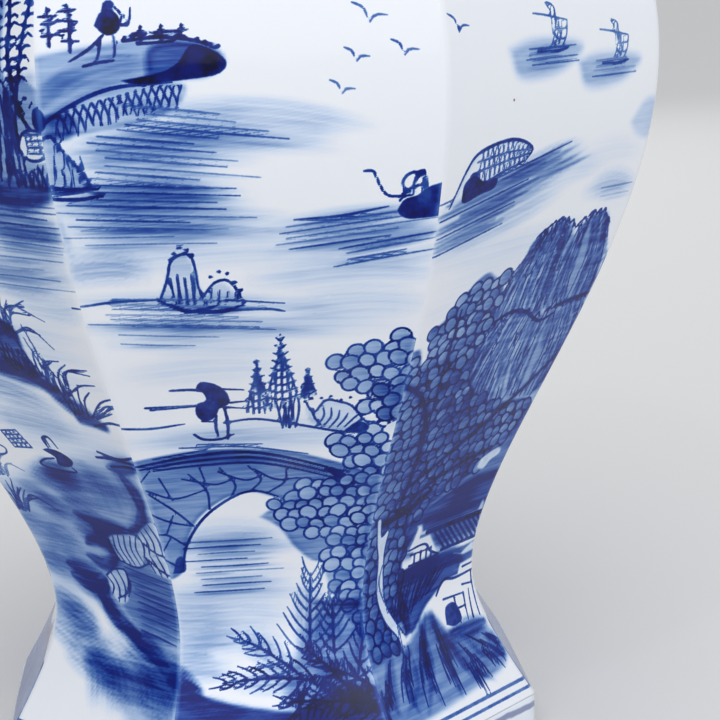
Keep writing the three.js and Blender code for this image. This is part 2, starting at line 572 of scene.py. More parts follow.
    def swash(self, points, width=3.0, strength=0.25, soft=1.2):
        """A stroke of wash, streaked along its length as the brush runs dry; a thin one fades at its ends."""
        route = self.route(points)
        picked = self.near(route, width)
        if not len(picked):
            return
        share = np.linspace(0, 1, len(route))
        half = width / 2 * (0.35 + 0.65 * np.sin(math.pi * np.clip(share * 0.9 + 0.08, 0, 1)))
        dx, ds, wide = self.steps_to(picked, route, half)
        distance = np.hypot(dx, ds) - wide
        cover = np.clip(0.5 - distance / soft, 0, 1)
        across = (dx + ds) * 4.4
        streak = 0.8 + 0.3 * np.sin(across + self.jitter(3)) * np.sin(across * 0.37 + self.jitter(3))
        if strength < 0.45:
            cover = cover * np.clip(wide / width * 4 - 0.68, 0.1, 1)
        self.add_wash(picked, strength * cover * streak)

    def leave_white(self, points, keep=0.0, bendy=True):
        """Wipes a shape clean, keeping a share of the wash."""
        picked, distance = self.covered(points, 0.6, bendy)
        cover = np.clip(0.5 - distance / 0.5, 0, 1)
        self.wash[picked] *= 1 - cover * (1 - keep)
        self.clear_lines(picked[distance < 0.1])
        self.solid_edge[picked] = np.maximum(self.solid_edge[picked], -distance)

    def solid(self, points, tone=0.85, bendy=True):
        """A shape filled with full cobalt."""
        picked, distance = self.covered(points, 1.2, bendy)
        closer = distance < self.solid_edge[picked]
        self.solid_tone[picked] = np.where(closer, tone, self.solid_tone[picked])
        self.solid_edge[picked] = np.minimum(self.solid_edge[picked], distance)

    def outline(self, points, width=0.7, tone=0.9, bendy=True):
        points = list(points)
        self.line(points + points[:1], width, tone, (0.9, 0.9), bendy)

    def jitter(self, amount):
        return self.draw.uniform(-amount, amount)

    def hatch(self, start, end, lean, count, width=0.6, tone=0.75, uneven=0.8, curl=0.0):
        """Lines side by side, their tops along one path and each one leaning by the same step."""
        tops = self.spread(start, count)
        feet = self.spread(end, count)
        for top, foot in zip(tops, feet):
            a = (top[0] + self.jitter(uneven * 0.4), top[1] + self.jitter(uneven))
            b = (foot[0] + self.jitter(uneven * 0.4) + lean, foot[1] + self.jitter(uneven))
            middle = ((a[0] + b[0]) / 2 + curl, (a[1] + b[1]) / 2)
            self.line([a, middle, b], width * self.draw.uniform(0.8, 1.2), tone + self.jitter(0.1))

    def spread(self, points, count):
        """The given number of points, evenly along a path."""
        points = np.array(points, float)
        if len(points) == 1:
            return np.repeat(points, count, axis=0)
        length = np.r_[0, np.cumsum(np.hypot(*np.diff(points, axis=0).T))]
        at = np.linspace(0, length[-1], count)
        return np.stack([np.interp(at, length, points[:, k]) for k in (0, 1)], 1)

# %% [markdown]
# The landscape is built from motifs that a porcelain painter learns by heart: water as long parallel
# strokes, foliage as clusters of round cells, willows as falling strands, pines as combed needles, and rocks
# as an outline with hatching. Each motif is a function, so it can be set anywhere at any size. In all of
# them, and in the walls, c is the canvas.

# %% Water, birds and boats


def water(c, x0, x1, z0, z1, count, slant=0, tone=0.55, width=0.4, ragged=0.35, wash=0.16):
    """Long strokes between two edges, each ending at its own place: some of ink, more of thin wash."""
    span = x1 - x0
    for k, level in enumerate(np.linspace(z0, z1, count * 2)):
        start = x0 + abs(c.jitter(ragged)) * span * 0.4
        end = x1 - abs(c.jitter(ragged)) * span
        z = level + c.jitter(0.12) + slant * (start - x0)
        lift = slant * (end - start)
        run = [(start, z), ((start + end) / 2, z + lift * 0.5 + c.jitter(0.12)), (end, z + lift)]
        if k % 3 == 0:
            c.line(run, width * c.draw.uniform(0.7, 1.2), tone - 0.1 + c.jitter(0.14), (0.6, 0.02))
        elif k % 3 == 1:
            c.swash(run, 0.9, tone * c.draw.uniform(0.3, 0.56), 0.6)
    for level in np.linspace(z0, z1, max(2, int(abs(z1 - z0) / 2.2))):
        end = x1 + c.jitter(0.2) * span
        z = level + c.jitter(0.5)
        c.swash([(x0, z), ((x0 + end) / 2, z + slant * span * 0.5), (end, z + slant * (end - x0))],
                3.8, wash * c.draw.uniform(0.3, 1.1), 2.2)


def bird(c, x, z, size=2.6, flip=1):
    far_wing = ((-1, 0.85), (-0.35, 0.5), (0, -0.35))
    near_wing = ((0, -0.35), (0.4, 0.05), (1.1, 0))
    c.line(placed(x, z, far_wing, flip * size, size), 0.5, 0.66)
    c.line(placed(x, z, near_wing, flip * size, size), 0.45, 0.62)


def sail_boat(c, x, z, size=8, tone=0.6):
    """A small junk far off: a leaning mast, two ribbed sails and their pool of wash."""
    pool = ((-2.2, 0.1), (-1, 0.3), (1, 0.1), (1.2, -0.2), (0, -0.7), (-1.7, -0.7))
    c.fill(placed(x, z, pool, size), 0.26, 3, 0)
    water(c, x - size * 1.6, x + size * 1.1, z + 0.4, z - size * 0.5, 6, -0.01, tone - 0.12, 0.4, 0.4, 0.05)
    for points in (((-1, 0.98), (-0.4, 0.9), (0.6, 0.72)),
            ((-0.3, 1.25), (0, 1.12), (0.05, 0.8), (-0.1, 0.3), (-0.3, 0)),
            ((-0.35, 1.22), (-0.15, 0.95), (-0.15, 0.4)), ((0.6, 0.72), (0.5, 0.3), (0.25, 0)),
            ((0.3, 0.76), (0.28, 0.4), (0.05, 0.02)), ((0.1, 0.8), (0.1, 0.4), (-0.1, 0.05)),
            ((0.05, 0.5), (0.56, 0.5)), ((0, 0.25), (0.42, 0.22))):
        c.line(placed(x, z, points, size), 0.42, tone, (0.8, 0.6))
    c.line(placed(x, z, ((-0.9, -0.4), (0, -0.7), (0.6, -0.2)), size, 1), 0.7, tone + 0.12)


def covered_boat(c, x, z, length=26):
    """A river boat under a plaited canopy, its bow to the left."""
    top = placed(x, z, ((-0.5, -2), (-0.36, 5.4), (-0.2, 9), (0.2, 10.4), (0.48, 8), (0.42, 5.4), (0.1, 3.6),
            (-0.1, 2)), length, 1)
    c.leave_white(top)
    c.fill(top, 0.07, 0.6, 0.1)
    c.line(top[:6], 0.7, 0.86)
    c.line(top[5:], 0.5, 0.76)
    for k in np.linspace(-0.2, 0.42, 13):
        foot = 3.1 + 6 * k
        crest = 9.7 - 9 * max(k - 0.2, 0)
        rib = ((k, foot), (k + 0.012, (foot + crest) / 2), (k + 0.04, crest))
        c.line(placed(x, z, rib, length, 1), 0.36, 0.66, (1, 0.8))
    for k in (0.3, 0.6):
        c.line([(x - length * 0.24, z + 2.6 + 7 * k), (x + length * 0.15, z + 4.2 + 6 * k),
                (x + length * 0.44, z + 5.8 + 3 * k)], 0.36, 0.66, (1, 0.8))
    c.solid(placed(x, z, ((-0.36, -1), (-0.36, 2.6), (-0.24, 4.4), (-0.12, 2.6), (0.06, 2.8), (0.04, 0.6),
            (-0.14, -0.2), (-0.3, -1.4)), length, 1), 0.92)
    c.line(placed(x, z, ((-0.3, 4), (-0.26, 4.6), (-0.2, 4)), length, 1), 0.5, 0.9)


def boatman(c, x, z):
    """A crouching rower in the stern, with a curling oar."""
    c.solid(placed(x, z, ((-4, -1.6), (-2.4, 0.6), (0.4, 1.4), (2.6, 3), (8, 3.4), (8, -2.4), (0, -3.6),
            (-3, -3))), 0.9)
    for loop in (((-2.4, 1), (-2.6, 4.6), (-0.4, 6.2), (1.4, 4.8), (1, 1.6)),
            ((-0.6, 1.6), (-0.2, 4.6), (1.6, 6.4), (2.4, 2.8)), ((-3.4, 0.4), (-1.6, 2.6), (0.8, 3.4)),
            ((-10.4, 7), (-8.6, 6.8), (-7.4, 4), (-5.6, 1.6), (-1, 1.4))):
        c.line(placed(x, z, loop), 0.62, 0.84, (0.8, 0.6))

# %% Trees and leaves


def leaf_cells(c, region, size=3.4, strength=0.5, tone=0.8, tall=1, line=0.42, behind=0):
    """Foliage as a crowd of round leaves, each laid over the one before, kept inside a region."""
    route = c.shape(region)
    if behind:
        c.fill(region, behind, 1.2, 0)
    low = route.min(0)
    high = route.max(0)
    centres = []
    for row, s in enumerate(np.arange(high[1], low[1] - size, -size * 0.84 * tall)):
        shift = size / 2 if row % 2 else 0
        for x in np.arange(low[0], high[0] + size, size * 0.94):
            centres.append((x + shift + c.jitter(size * 0.2), s + c.jitter(size * 0.2)))
    centres = np.array(centres)
    for x, s in centres[within(centres[:, 0], centres[:, 1], route)]:
        radius = size * c.draw.uniform(0.46, 0.6)
        spot = np.array([[x, s]])
        picked = c.near(spot, radius * tall + 1.2)
        if not len(picked):
            continue
        lean = c.jitter(0.25)
        dx = c.x[picked] - x + lean * (c.s[picked] - s)
        ds = (c.s[picked] - s) / tall
        reach = np.maximum(np.hypot(dx, ds), 1e-6)
        body = np.clip((radius - reach) / 0.5 + 0.5, 0, 1)
        shade = strength * c.draw.uniform(0.75, 1.2) * (1 + 0.14 * np.clip(dx / radius + lean, -1, 1))
        c.wash[picked] = c.wash[picked] * (1 - body) + shade * body
        c.clear_lines(picked[reach < radius - 0.15])
        ring = radius / reach - 1
        c.put_line(picked, dx * ring, ds * ring * tall, np.full(len(picked), line / 2), tone + c.jitter(0.1))


def willow(c, crown, feet, count=24, strength=0.4, tone=0.7, bow=1.6):
    """Strands falling from a crown line to a foot line, over a wash of the same outline."""
    c.fill(list(crown) + list(feet)[::-1], strength, 1.8, 0.05)
    for top, end in zip(c.spread(crown, count), c.spread(feet, count)):
        for start in np.arange(c.jitter(0.06), 0.94, 0.16):
            side = np.sign(end[0] - top[0]) or 1
            steps = [min(max(t, 0), 1) for t in (start, start + 0.1, start + 0.2 + c.jitter(0.05))]
            off = c.jitter(0.5)
            strand = [(top[0] + (end[0] - top[0]) * t + side * bow * math.sin(math.pi * t) + off,
                    top[1] + (end[1] - top[1]) * t) for t in steps]
            if c.draw.uniform() < 0.4:
                c.line(strand, 0.4, tone + c.jitter(0.14), (0.9, 0.1))
            else:
                c.swash(strand, 1.1, tone * 0.8 + c.jitter(0.1), 0.5)
    for top in c.spread(crown, count // 2):
        c.line([(top[0] - 0.9, top[1]), (top[0] + c.jitter(0.8), top[1] + 0.9),
                (top[0] + 0.9, top[1] - 0.4)], 0.6, 0.85)


def frond(c, root, tip, needle=7, gap=2.5, tone=0.7, width=0.5):
    """A stem with long needles that lie forward along it, shorter towards the tip."""
    stem = np.array([root, ((root[0] + tip[0]) / 2, (root[1] + tip[1]) / 2 + 0.6), tip], float)
    c.line(stem, width * 1.3, tone + 0.08, (1, 0.4))
    along = math.atan2(tip[1] - root[1], tip[0] - root[0])
    count = max(3, int(math.dist(root, tip) / gap))
    for k in range(count + 1):
        t = k / count
        x = root[0] + (tip[0] - root[0]) * t
        z = root[1] + (tip[1] - root[1]) * t + 0.6 * math.sin(math.pi * t)
        for hand in (-1, 1):
            reach = needle * (1.06 - 0.5 * t) * c.draw.uniform(0.75, 1.1)
            angle = along + hand * (0.82 - 0.36 * t + c.jitter(0.08))
            c.line([(x, z), (x + reach * 0.5 * math.cos(angle), z + reach * 0.5 * math.sin(angle)),
                    (x + reach * math.cos(angle - hand * 0.12), z + reach * math.sin(angle - hand * 0.12))],
                    width * c.draw.uniform(0.7, 1.15), tone + c.jitter(0.12), (1, 0.1))


def fir(c, x, z, height=13, spread=4, tone=0.8):
    """A far conifer: a few upright strokes narrowing to the top, crossed by short drooping rungs."""
    for lean in (-1, -0.5, 0, 0.5, 1):
        top = height * (1 - 0.3 * abs(lean))
        c.line([(x + lean * spread, z + c.jitter(0.5)), (x + lean * spread * 0.66, z + top * 0.5),
                (x + lean * 0.5, z + top)], 0.42, tone, (0.7, 0.3))
    for level in np.arange(0.12, 0.98, 1.75 / height):
        reach = spread * (1.15 - level)
        c.line([(x - reach, z + level * height + 0.5), (x, z + level * height - 0.3),
                (x + reach, z + level * height + 0.6)], 0.42, tone, (0.8, 0.5))


def grass(c, x, z, reach=9, count=11, tone=0.7, lean=0, side=0):
    """A tuft: curved blades fanning up from one root."""
    for angle in np.linspace(-0.95, 0.95, count):
        turn = angle + lean + c.jitter(0.2)
        length = reach * c.draw.uniform(0.5, 1.15)
        bow = c.draw.uniform(0.3, 0.9)
        foot = (x + angle * side, z + c.jitter(0.6))
        tip = (foot[0] + math.sin(turn) * length, foot[1] + math.cos(turn) * length)
        middle = (foot[0] + math.sin(turn * bow) * length * 0.5,
                foot[1] + math.cos(turn * bow) * length * 0.55)
        c.line([foot, middle, tip], 0.46, tone + c.jitter(0.1), (1, 0.15))


def bough(c, points, width=1.6, tone=0.85):
    c.line(points, width, tone, (1, 0.35))

# %% Rocks, people and buildings


def island(c, x, z, size=8, tone=0.84):
    """Two peaks rising from the water, ribbed from their feet and dotted with far trees."""
    def strokes(width, depth, *runs):
        for run in runs:
            c.line(placed(x, z, run, size), width, depth, (0.8, 0.5))

    c.fill(placed(x, z, ((-0.85, 0.2), (-0.5, 1.2), (-0.1, 1.35), (0.25, 0.3), (0.6, 0.7), (1.1, 0.1),
            (0.9, -0.2), (-0.2, -0.1)), size), 0.16, 0.8, 0)
    strokes(0.6, tone,
            ((-0.82, 0.25), (-0.62, 0.75), (-0.48, 1.25), (-0.12, 1.4), (0.06, 1.1), (0.12, 0.5),
            (0.25, 0.1)), ((0.22, 0.3), (0.5, 0.62), (0.82, 0.66), (1.08, 0.3), (1.16, 0)),
            ((-0.82, 0.25), (-0.5, 0.05), (0, -0.12)))
    for k in range(4):
        strokes(0.46, tone - 0.06, ((-0.42 + 0.14 * k, 0.1), (-0.5 + 0.16 * k, 0.5),
                (-0.52 + 0.17 * k, 0.8 + 0.1 * (k % 2))))
    for k in range(4):
        strokes(0.42, tone - 0.1, ((0.38 + 0.2 * k, 0.1), (0.44 + 0.18 * k, 0.5 - 0.06 * k)))
    strokes(1, tone, ((-0.6, 0.12), (-0.1, -0.08), (0.5, 0.02)), ((0.1, -0.12), (0.7, -0.12), (1.1, -0.02)))
    for tree in placed(x, z, ((-0.42, 1.42), (-0.28, 1.56), (-0.1, 1.5), (0.02, 1.36), (-0.5, 1.28),
            (0.42, 0.78), (0.62, 0.9), (0.82, 0.84), (1, 0.6), (1.12, 0.4)), size):
        c.dab(*tree, 0.42, tone)


def figure(c, x, z, size=1, facing=1, pole=True):
    """A small traveller in a long coat, given by a few strokes with no face."""
    c.solid(placed(x, z, ((-1.6, 2.2), (-1.2, 4.6), (0.4, 5.6), (2.4, 4.4), (2.2, 1.6), (0, 0.6)), size),
            0.92)
    c.solid(placed(x, z, ((-1.2, 5), (-0.6, 6.6), (0.8, 6.8), (1.2, 5.4)), size), 0.85)
    for limb, width, tone in ((((-0.8, 1.4), (-1.2, -2), (-1.8, -4.4)), 0.7, 0.8),
            (((1.5, 1.4), (1.6, -2), (1.9, -4)), 0.7, 0.8), (((0.5, 0), (0.4, -3.2)), 0.55, 0.7),
            (((-3.4, -4.2), (0, -5.6), (3.2, -4.4)), 0.6, 0.75)):
        c.line(placed(x, z, limb, size), width, tone)
    if pole:
        for stick, width, tone in ((((-14, 1.2), (-4, 1), (7, 1)), 0.9, 0.85),
                (((-9, 5.2), (-3, 4.9), (5, 4.8)), 0.6, 0.75), (((-4.5, 4.6), (-1.5, 2.6)), 0.6, 0.75)):
            c.line(placed(x, z, stick, facing * size, size), width, tone)


def rock(c, points, strength=0.3, lines=9, tone=0.75, lean=1.5):
    """An outlined boulder with a few strokes of hatching down its shaded side."""
    c.leave_white(points)
    c.fill(points, strength, 0.8, 0.1)
    c.outline(points, 0.7, tone)
    rows = np.array(points, float)
    top = rows[:, 1].max()
    low = rows[:, 1].min()
    for x in np.linspace(rows[:, 0].min() + 1, rows[:, 0].max() - 1, lines):
        height = low + (top - low) * c.draw.uniform(0.35, 0.7)
        c.line([(x, height), (x + lean * 0.5, (height + low) / 2), (x + lean, low + 0.6)], 0.5, tone - 0.1)


def lattice(c, points, across=5, down=4, tone=0.7, width=0.5):
    """A net of crossing lines in a four-cornered frame."""
    high_left, high_right, low_right, low_left = [np.array(point, float) for point in points]
    for t in np.linspace(0, 1, across + 1):
        top = high_left + (high_right - high_left) * t
        c.line([top, low_left + (low_right - low_left) * t], width, tone, (1, 1))
    for t in np.linspace(0, 1, down + 1):
        left = high_left + (low_left - high_left) * t
        c.line([left, high_right + (low_right - high_right) * t], width, tone, (1, 1))


def bank(c, points, width=4, tone=0.8):
    """A dark shore line, thick and uneven, as the loaded brush is pressed and lifted."""
    c.swash(points, width * 1.8, tone * 0.7, 1.6)
    c.swash(points, width * 1.1, tone * 0.8, 0.9)
    for x, z in c.spread(points, len(points) * 2):
        c.swash([(x + c.jitter(1), z + width * 0.2), (x + c.jitter(2), z - width * 0.5)],
                width * 0.6, tone * 0.5, 0.9)


def tiled_roof(c, low, high, lean=5, tone=0.8):
    """A hatched roof slab between its low left and high right corners, with dark ridges."""
    (x0, z0), (x1, z1) = low, high
    c.fill([(x0 + lean, z0), (x0, z1), (x1, z1), (x1, z0)], 0.35, 0.5, 0, False)
    c.line([(x0 - 1, z1 + 0.3), (x1, z1)], 1.4, tone + 0.1, (1, 1))
    c.line([(x0 + lean, z0), (x1, z0)], 0.8, tone, (1, 1))
    for x in np.arange(x0 + 1.5, x1, 1.9):
        c.line([(x, z1), (min(x + lean, x1), z0 + max(0, (x + lean - x1)) * (z1 - z0) / lean)], 0.65,
                tone - 0.1, (1, 1))


def house(c, low, high, wall, posts, tone=0.82):
    """A tiled roof over a white wall, with its posts. The wall is given by its edges and its foot."""
    left, right, corner, foot = wall
    tiled_roof(c, low, high, 6, tone)
    c.leave_white([(left, low[1]), (right, low[1]), (corner, foot), (left, foot)], 0, False)
    for x in posts:
        c.line([(x, low[1] - 0.4), (x, foot)], 0.8, 0.8, (1, 1))

# %% [markdown]
# The scenes follow one river round the jar. Far sails and islands are high up and pale, the near shore with
# its bridge, houses and trees is low and dark. Each wall is a function that places its motifs in mm from the
# middle of the wall and from the table.

# %% The front wall


def paint_front(c):
    # pale reflections over the whole stream
    for x0, x1, z, strength in ((-36, 30, 134, 0.1), (0, 41, 128, 0.14), (-30, 34, 117, 0.1),
            (6, 38, 121, 0.12),
            (-28, 10, 108, 0.07), (-22, 10, 49, 0.08), (-20, 4, 66, 0.1), (-40, -20, 132, 0.2),
            (-40, 0, 146, 0.2), (-38, 4, 156, 0.2), (-26, 8, 63, 0.14),
            (-20, 6, 44, 0.12), (-20, 4, 38, 0.12), (-30, 34, 91, 0.12)):
        c.swash([(x0, z), ((x0 + x1) / 2, z + 0.8), (x1, z - 1)], 6.5, strength * 1.5, 4)
    # the headland and its cliff
    c.fill([(-42, 176), (-34, 177), (-24, 178), (-14, 178), (-6, 176), (-4, 172.5), (-12, 170), (-24, 169.5),
            (-34, 166), (-43, 161)], 0.3, 1.6, 0.1)
    c.swash([(-42, 166), (-34, 171), (-24, 173.4), (-16, 173)], 5, 0.3)
    c.fill([(-19, 171), (-18, 176.4), (-12, 177.6), (-5, 175.6), (-3.4, 172.6), (-8, 170)], 0.5, 1.6, 0.2)
    c.solid([(-24, 170.4), (-16, 171.6), (-12.4, 173.4), (-9.6, 176.6), (-5.6, 175.4), (-3, 172.8),
            (-5, 170.6), (-12, 169.9), (-20, 169.4)], 0.97)
    c.line([(-42, 161), (-35, 165.6), (-26, 169), (-14, 169.6)], 0.8, 0.84)
    c.lines(0.7, 0.94, [(-23, 178), (-16, 178.4), (-9, 177.4), (-5, 175.6)], [(-20, 177.3), (-13, 177.4)])
    for x in np.arange(-22.6, -4.4, 1.3):
        c.dab(x, 178.9 - max(0, x + 12) * 0.4 + c.jitter(0.5), c.draw.uniform(0.25, 0.5), 0.94)
    for x in (-19.4, -15.4, -11.4):
        c.lines(0.5, 0.94, [(x, 178), (x + 0.1, 180.8)], [(x - 1.4, 179.4), (x + 1.3, 179.6)])
        c.dab(x + 0.2, 180.4, 0.4)
    c.fill([(-38, 164.6), (-26, 169), (-12, 169.4), (-13, 165), (-20, 162), (-30, 160.6), (-38, 160)], 0.26,
            1.2, 0.05)
    for k in range(17):
        x = -36 + 1.5 * k
        top = 164.8 + 4.2 * math.sin(0.096 * k)
        c.line([(x, top), (x - 0.9, top - 2.4), (x - 1.4, top - 5.6 + c.jitter(0.8) + 0.08 * k)], 0.42, 0.74,
                (1, 0.3))
    c.fill([(-42, 163), (-37, 165), (-33, 163), (-35, 159.6), (-42, 160)], 0.46, 1.6, 0.1)
    # water under the cliff
    water(c, -26, 12, 166, 160.6, 7, -0.15, 0.56, 0.4, 0.5, 0.24)
    c.swash([(-12, 165), (8, 162.4), (26, 158.4)], 5, 0.24, 2)
    c.swash([(-12, 161), (8, 158.5), (20, 157)], 4, 0.16, 2)
    water(c, -34, 4, 160.6, 151.4, 10, -0.14, 0.56, 0.42, 0.4, 0.28)
    rock(c, [(-42, 158), (-38.6, 160.4), (-36, 157), (-32, 151.4), (-33, 149), (-42, 150)], 0.3, 3)
    c.hatch([(-40, 159), (-37, 158.6), (-33.6, 153)], [(-41, 151), (-37, 150.6), (-33, 149.6)], 0.6, 5, 0.42,
            0.7, 0.4)
    c.swash([(-41, 156), (-40, 150)], 3, 0.4)
    c.lines(0.8, 0.88, [(-41, 150.6), (-36, 149.6), (-30, 149.4)], [(-41, 148), (-34, 147.4), (-29, 148)])
    water(c, -39, 4, 151, 141.6, 10, -0.09, 0.62, 0.44, 0.4, 0.3)
    water(c, -38, -4, 141, 137.6, 4, -0.05, 0.46, 0.36, 0.45, 0.16)
    c.swash([(-40.4, 146), (-39, 140), (-36, 135)], 4, 0.24)
    # two pines, a traveller and a stone on the headland
    for x, low, high in ((-37.2, 178.8, 184.6), (-33.2, 177.6, 185)):
        for z in np.arange(low + 1.2, high, 1.9):
            c.line([(x - c.draw.uniform(1.2, 2), z + c.jitter(0.3)),
                    (x + c.draw.uniform(1.2, 2), z + c.jitter(0.4))], 0.6, 0.92, (0.8, 0.7))
            c.dab(x + c.jitter(1.6), z + 0.9, c.draw.uniform(0.25, 0.4), 0.92)
        c.line([(x, low - 1), (x + 0.2, high + 0.6)], 0.8, 0.94, (1, 0.7))
    c.solid([(-28.2, 181.2), (-27, 183.6), (-25, 184.4), (-23.2, 182.4), (-23.6, 180), (-26, 179.3)], 0.97)
    c.solid([(-26.6, 184), (-26, 185.8), (-24.4, 185.8), (-24.2, 184.4)], 0.92)
    c.lines(0.6, 0.88, [(-24, 184.6), (-22.8, 183), (-23.4, 181)], [(-23.4, 181.4), (-21.6, 181.2),
            (-21, 184.4)],
            [(-26.6, 179.4), (-29.6, 176.8), (-33.6, 174.6)], [(-27, 179), (-27.6, 176.6), (-28.2, 174)],
            [(-24.6, 179.6), (-24.6, 176.5), (-24.8, 174.6)], [(-31, 173.6), (-27.6, 174.2), (-24.6, 174.4)])
    c.solid([(-42.4, 163), (-41.4, 165.8), (-39.6, 165.4), (-39, 162.6), (-40.6, 161.2)], 0.97)
    # birds
    for x, z, size in ((25.6, 180.2, 3.4), (22.6, 172.4, 2.4), (32.2, 173.2, 2.7), (19.4, 166.2, 2.4)):
        bird(c, x, z, size)
    # the ferry at the right edge and its wake
    water(c, 4, 41, 138.8, 133.6, 7, 0.08, 0.6, 0.42, 0.35, 0.26)
    water(c, 16, 41, 133.4, 129.6, 5, 0.12, 0.6, 0.44, 0.4, 0.26)
    c.line([(8.6, 140.4), (18, 140.6), (28, 142)], 0.6, 0.7)
    c.swash([(10, 138), (26, 139), (41, 141)], 6, 0.22)
    boatman(c, 33.6, 142.6)
    # twin peaks in the stream
    water(c, -36, 10, 126.4, 120, 9, -0.09, 0.56, 0.42, 0.5, 0.24)
    water(c, -30, 4, 120, 115, 4, -0.1, 0.4, 0.34, 0.5, 0.18)
    c.lines(0.6, 0.72, [(-36, 124.6), (-28, 125.2), (-19, 125)], [(-8, 121.6), (2, 121.4), (6, 120.6)],
            [(-6, 124), (6, 122.4)])
    island(c, -12.5, 122.6, 8.6)
    # the road, the porter and his poles
    c.lines(0.6, 0.78, [(-31.5, 95.4), (-24, 94.8), (-16.5, 95.4)],
            [(-8, 95), (-1, 95.4), (8, 93.2), (16, 91), (22, 90)])
    c.solid([(-13.6, 104), (-12.4, 105.4), (-9.4, 104.6), (-7.2, 102.6), (-6.6, 99.8), (-8.8, 98.6),
            (-9.8, 96.6), (-12, 95.6), (-13.8, 97.4), (-13.6, 100), (-11.6, 100.8), (-12, 102.6)], 0.93)
    c.lines(0.66, 0.88, [(-19, 103.8), (-14, 103.6), (-10, 102.4)], [(-8.6, 103.4), (-3.4, 102.8)],
            [(-24.6, 100), (-14, 99.7), (-3, 100)], [(-23.4, 99.4), (-12, 99.6)], [(-10, 99.2), (-3, 98.2)],
            [(-9.6, 97), (-9.8, 94), (-9.4, 91.8)], [(-7.8, 99), (-7.2, 95), (-7.4, 90.8)],
            [(-12.6, 95.8), (-10, 95.4)], [(-14.6, 92.6), (-12.6, 91.2), (-9, 91), (-6, 92)])
    fir(c, -0.4, 96.8, 13, 2.6)
    fir(c, 4.8, 98, 17.4, 3.6)
    fir(c, 10.4, 100, 7, 1.6)
    for x in (4.6, 6, 7.4):
        c.lines(0.5, 0.8, [(x, 92.6), (x - 0.6, 96), (x - 1.2, 99.4)],
                [(x, 93), (x + 0.8, 96.6), (x + 0.8, 99.8)])
    hills = [(9.6, 99), (11.4, 96), (14, 98.8), (17, 98.2), (19.6, 97), (22, 93.6), (24.4, 91)]
    c.fill(hills + [(20, 90.4), (11, 93.4)], 0.14, 0.6, 0.05)
    c.lines(0.55, 0.82, hills, [(11, 97), (11.6, 94.6), (13, 92.6)])
    for k in range(6):
        c.line([(12 + 1.5 * k, 92.6 - 0.2 * k), (13.6 + 1.5 * k, 95 - 0.4 * k),
                (13.4 + 1.8 * k, 97.6 - 0.8 * k)], 0.42, 0.74)
        c.dab(11 + 2.1 * k, 99.4 + c.jitter(0.7) - 0.2 * k, 0.36, 0.85)
    c.solid([(17.6, 90.6), (21, 93), (23.4, 91.6), (22, 90)], 0.8)
    for k in range(8):
        c.dab(23.4 + 1.1 * k, 92.2 + c.jitter(1.1), 0.38, 0.85)
    c.swash([(-28, 91.6), (-8, 91), (20, 87)], 5, 0.13, 3)
    # the bridge: deck, joints between its stones, and the arch
    c.fill([(-31, 86.4), (-16, 88.4), (0, 87.6), (12, 84.6), (25, 78), (27, 66), (12, 70), (2, 75),
            (-4, 76.8), (-10, 74.8),
            (-15.5, 70), (-18.4, 63), (-19.6, 56.5), (-25, 56.5), (-28, 74)], 0.46, 0.8, 0.12)
    c.swash([(-30, 84.6), (-16, 85.8), (0, 85), (16, 79.6)], 3, 0.4, 1.2)
    for k in range(3):
        c.line([(-30 + 3 * k, 85 - 0.5 * k), (-14, 87.2 - 1.3 * k), (0, 86.6 - 1.3 * k),
                (19 - k, 80 - 0.8 * k)], 0.8 - 0.1 * k, 0.88 - 0.04 * k)
    c.line([(14, 81.4), (17, 79.4), (20, 76.8)], 1.8, 0.9)
    c.lines(0.42, 0.66, [(-18, 89.4), (-4, 88.6), (10, 85.6)], [(-14, 90), (0, 89)],
            [(-24, 87), (-12, 88.6)])
    c.line([(-19.4, 57), (-18, 64), (-13.6, 71), (-7, 75.8), (-2, 76.9), (3, 75)], 0.7, 0.85)
    joints = (((-20, 58), (-24, 60.6), (-27, 60)), ((-18.6, 64), (-22.6, 67), (-27.6, 66.6)),
            ((-16, 68.6), (-20, 73), (-25.6, 78)),
            ((-12.4, 72.6), (-12.8, 78), (-16.6, 82.6)), ((-7.6, 75.6), (-6.4, 79), (-9.6, 83.6)),
            ((-3, 77), (-0.6, 80), (-3.4, 83.6)),
            ((1, 76.4), (4.6, 78.8), (5, 82.4)), ((-27.6, 74), (-22, 70.6), (-16.6, 68.8)),
            ((-26, 79), (-20, 76.4), (-13.4, 78)),
            ((-18, 81.4), (-11, 79.4), (-7, 80.4)), ((-10, 82.6), (-4.4, 80), (-1, 80.6)),
            ((-2, 82.6), (2.6, 79.6), (8, 79.6)),
            ((-24.6, 60.4), (-21.6, 66)), ((-22.4, 67), (-20.6, 72)), ((-27, 70), (-24, 66.8)),
            ((-23, 82), (-20.4, 76)), ((-28, 80), (-25, 84)), ((-14, 84), (-12.6, 79)))
    c.lines(0.46, 0.76, *joints)
    water(c, -19.6, 4, 64.6, 50.6, 13, -0.02, 0.62, 0.42, 0.5, 0.2)
    c.solid([(-21.6, 56.6), (-20.6, 60.4), (-19, 60.6), (-18.8, 57)], 0.7)
    c.swash([(-26, 66), (-26.4, 56)], 3, 0.4)
    for k in range(10):
        c.swash([(-24, 52 - 2.2 * k), (-18, 51.4 - 2.2 * k), (-9 + c.jitter(4), 50.6 - 2.2 * k)], 3,
                0.14 + 0.014 * k, 2)
    for k in range(5):
        c.swash([(-23.4, 56 - 3 * k), (-21.6, 54.6 - 3 * k)], 4.4, 0.3, 1.6)
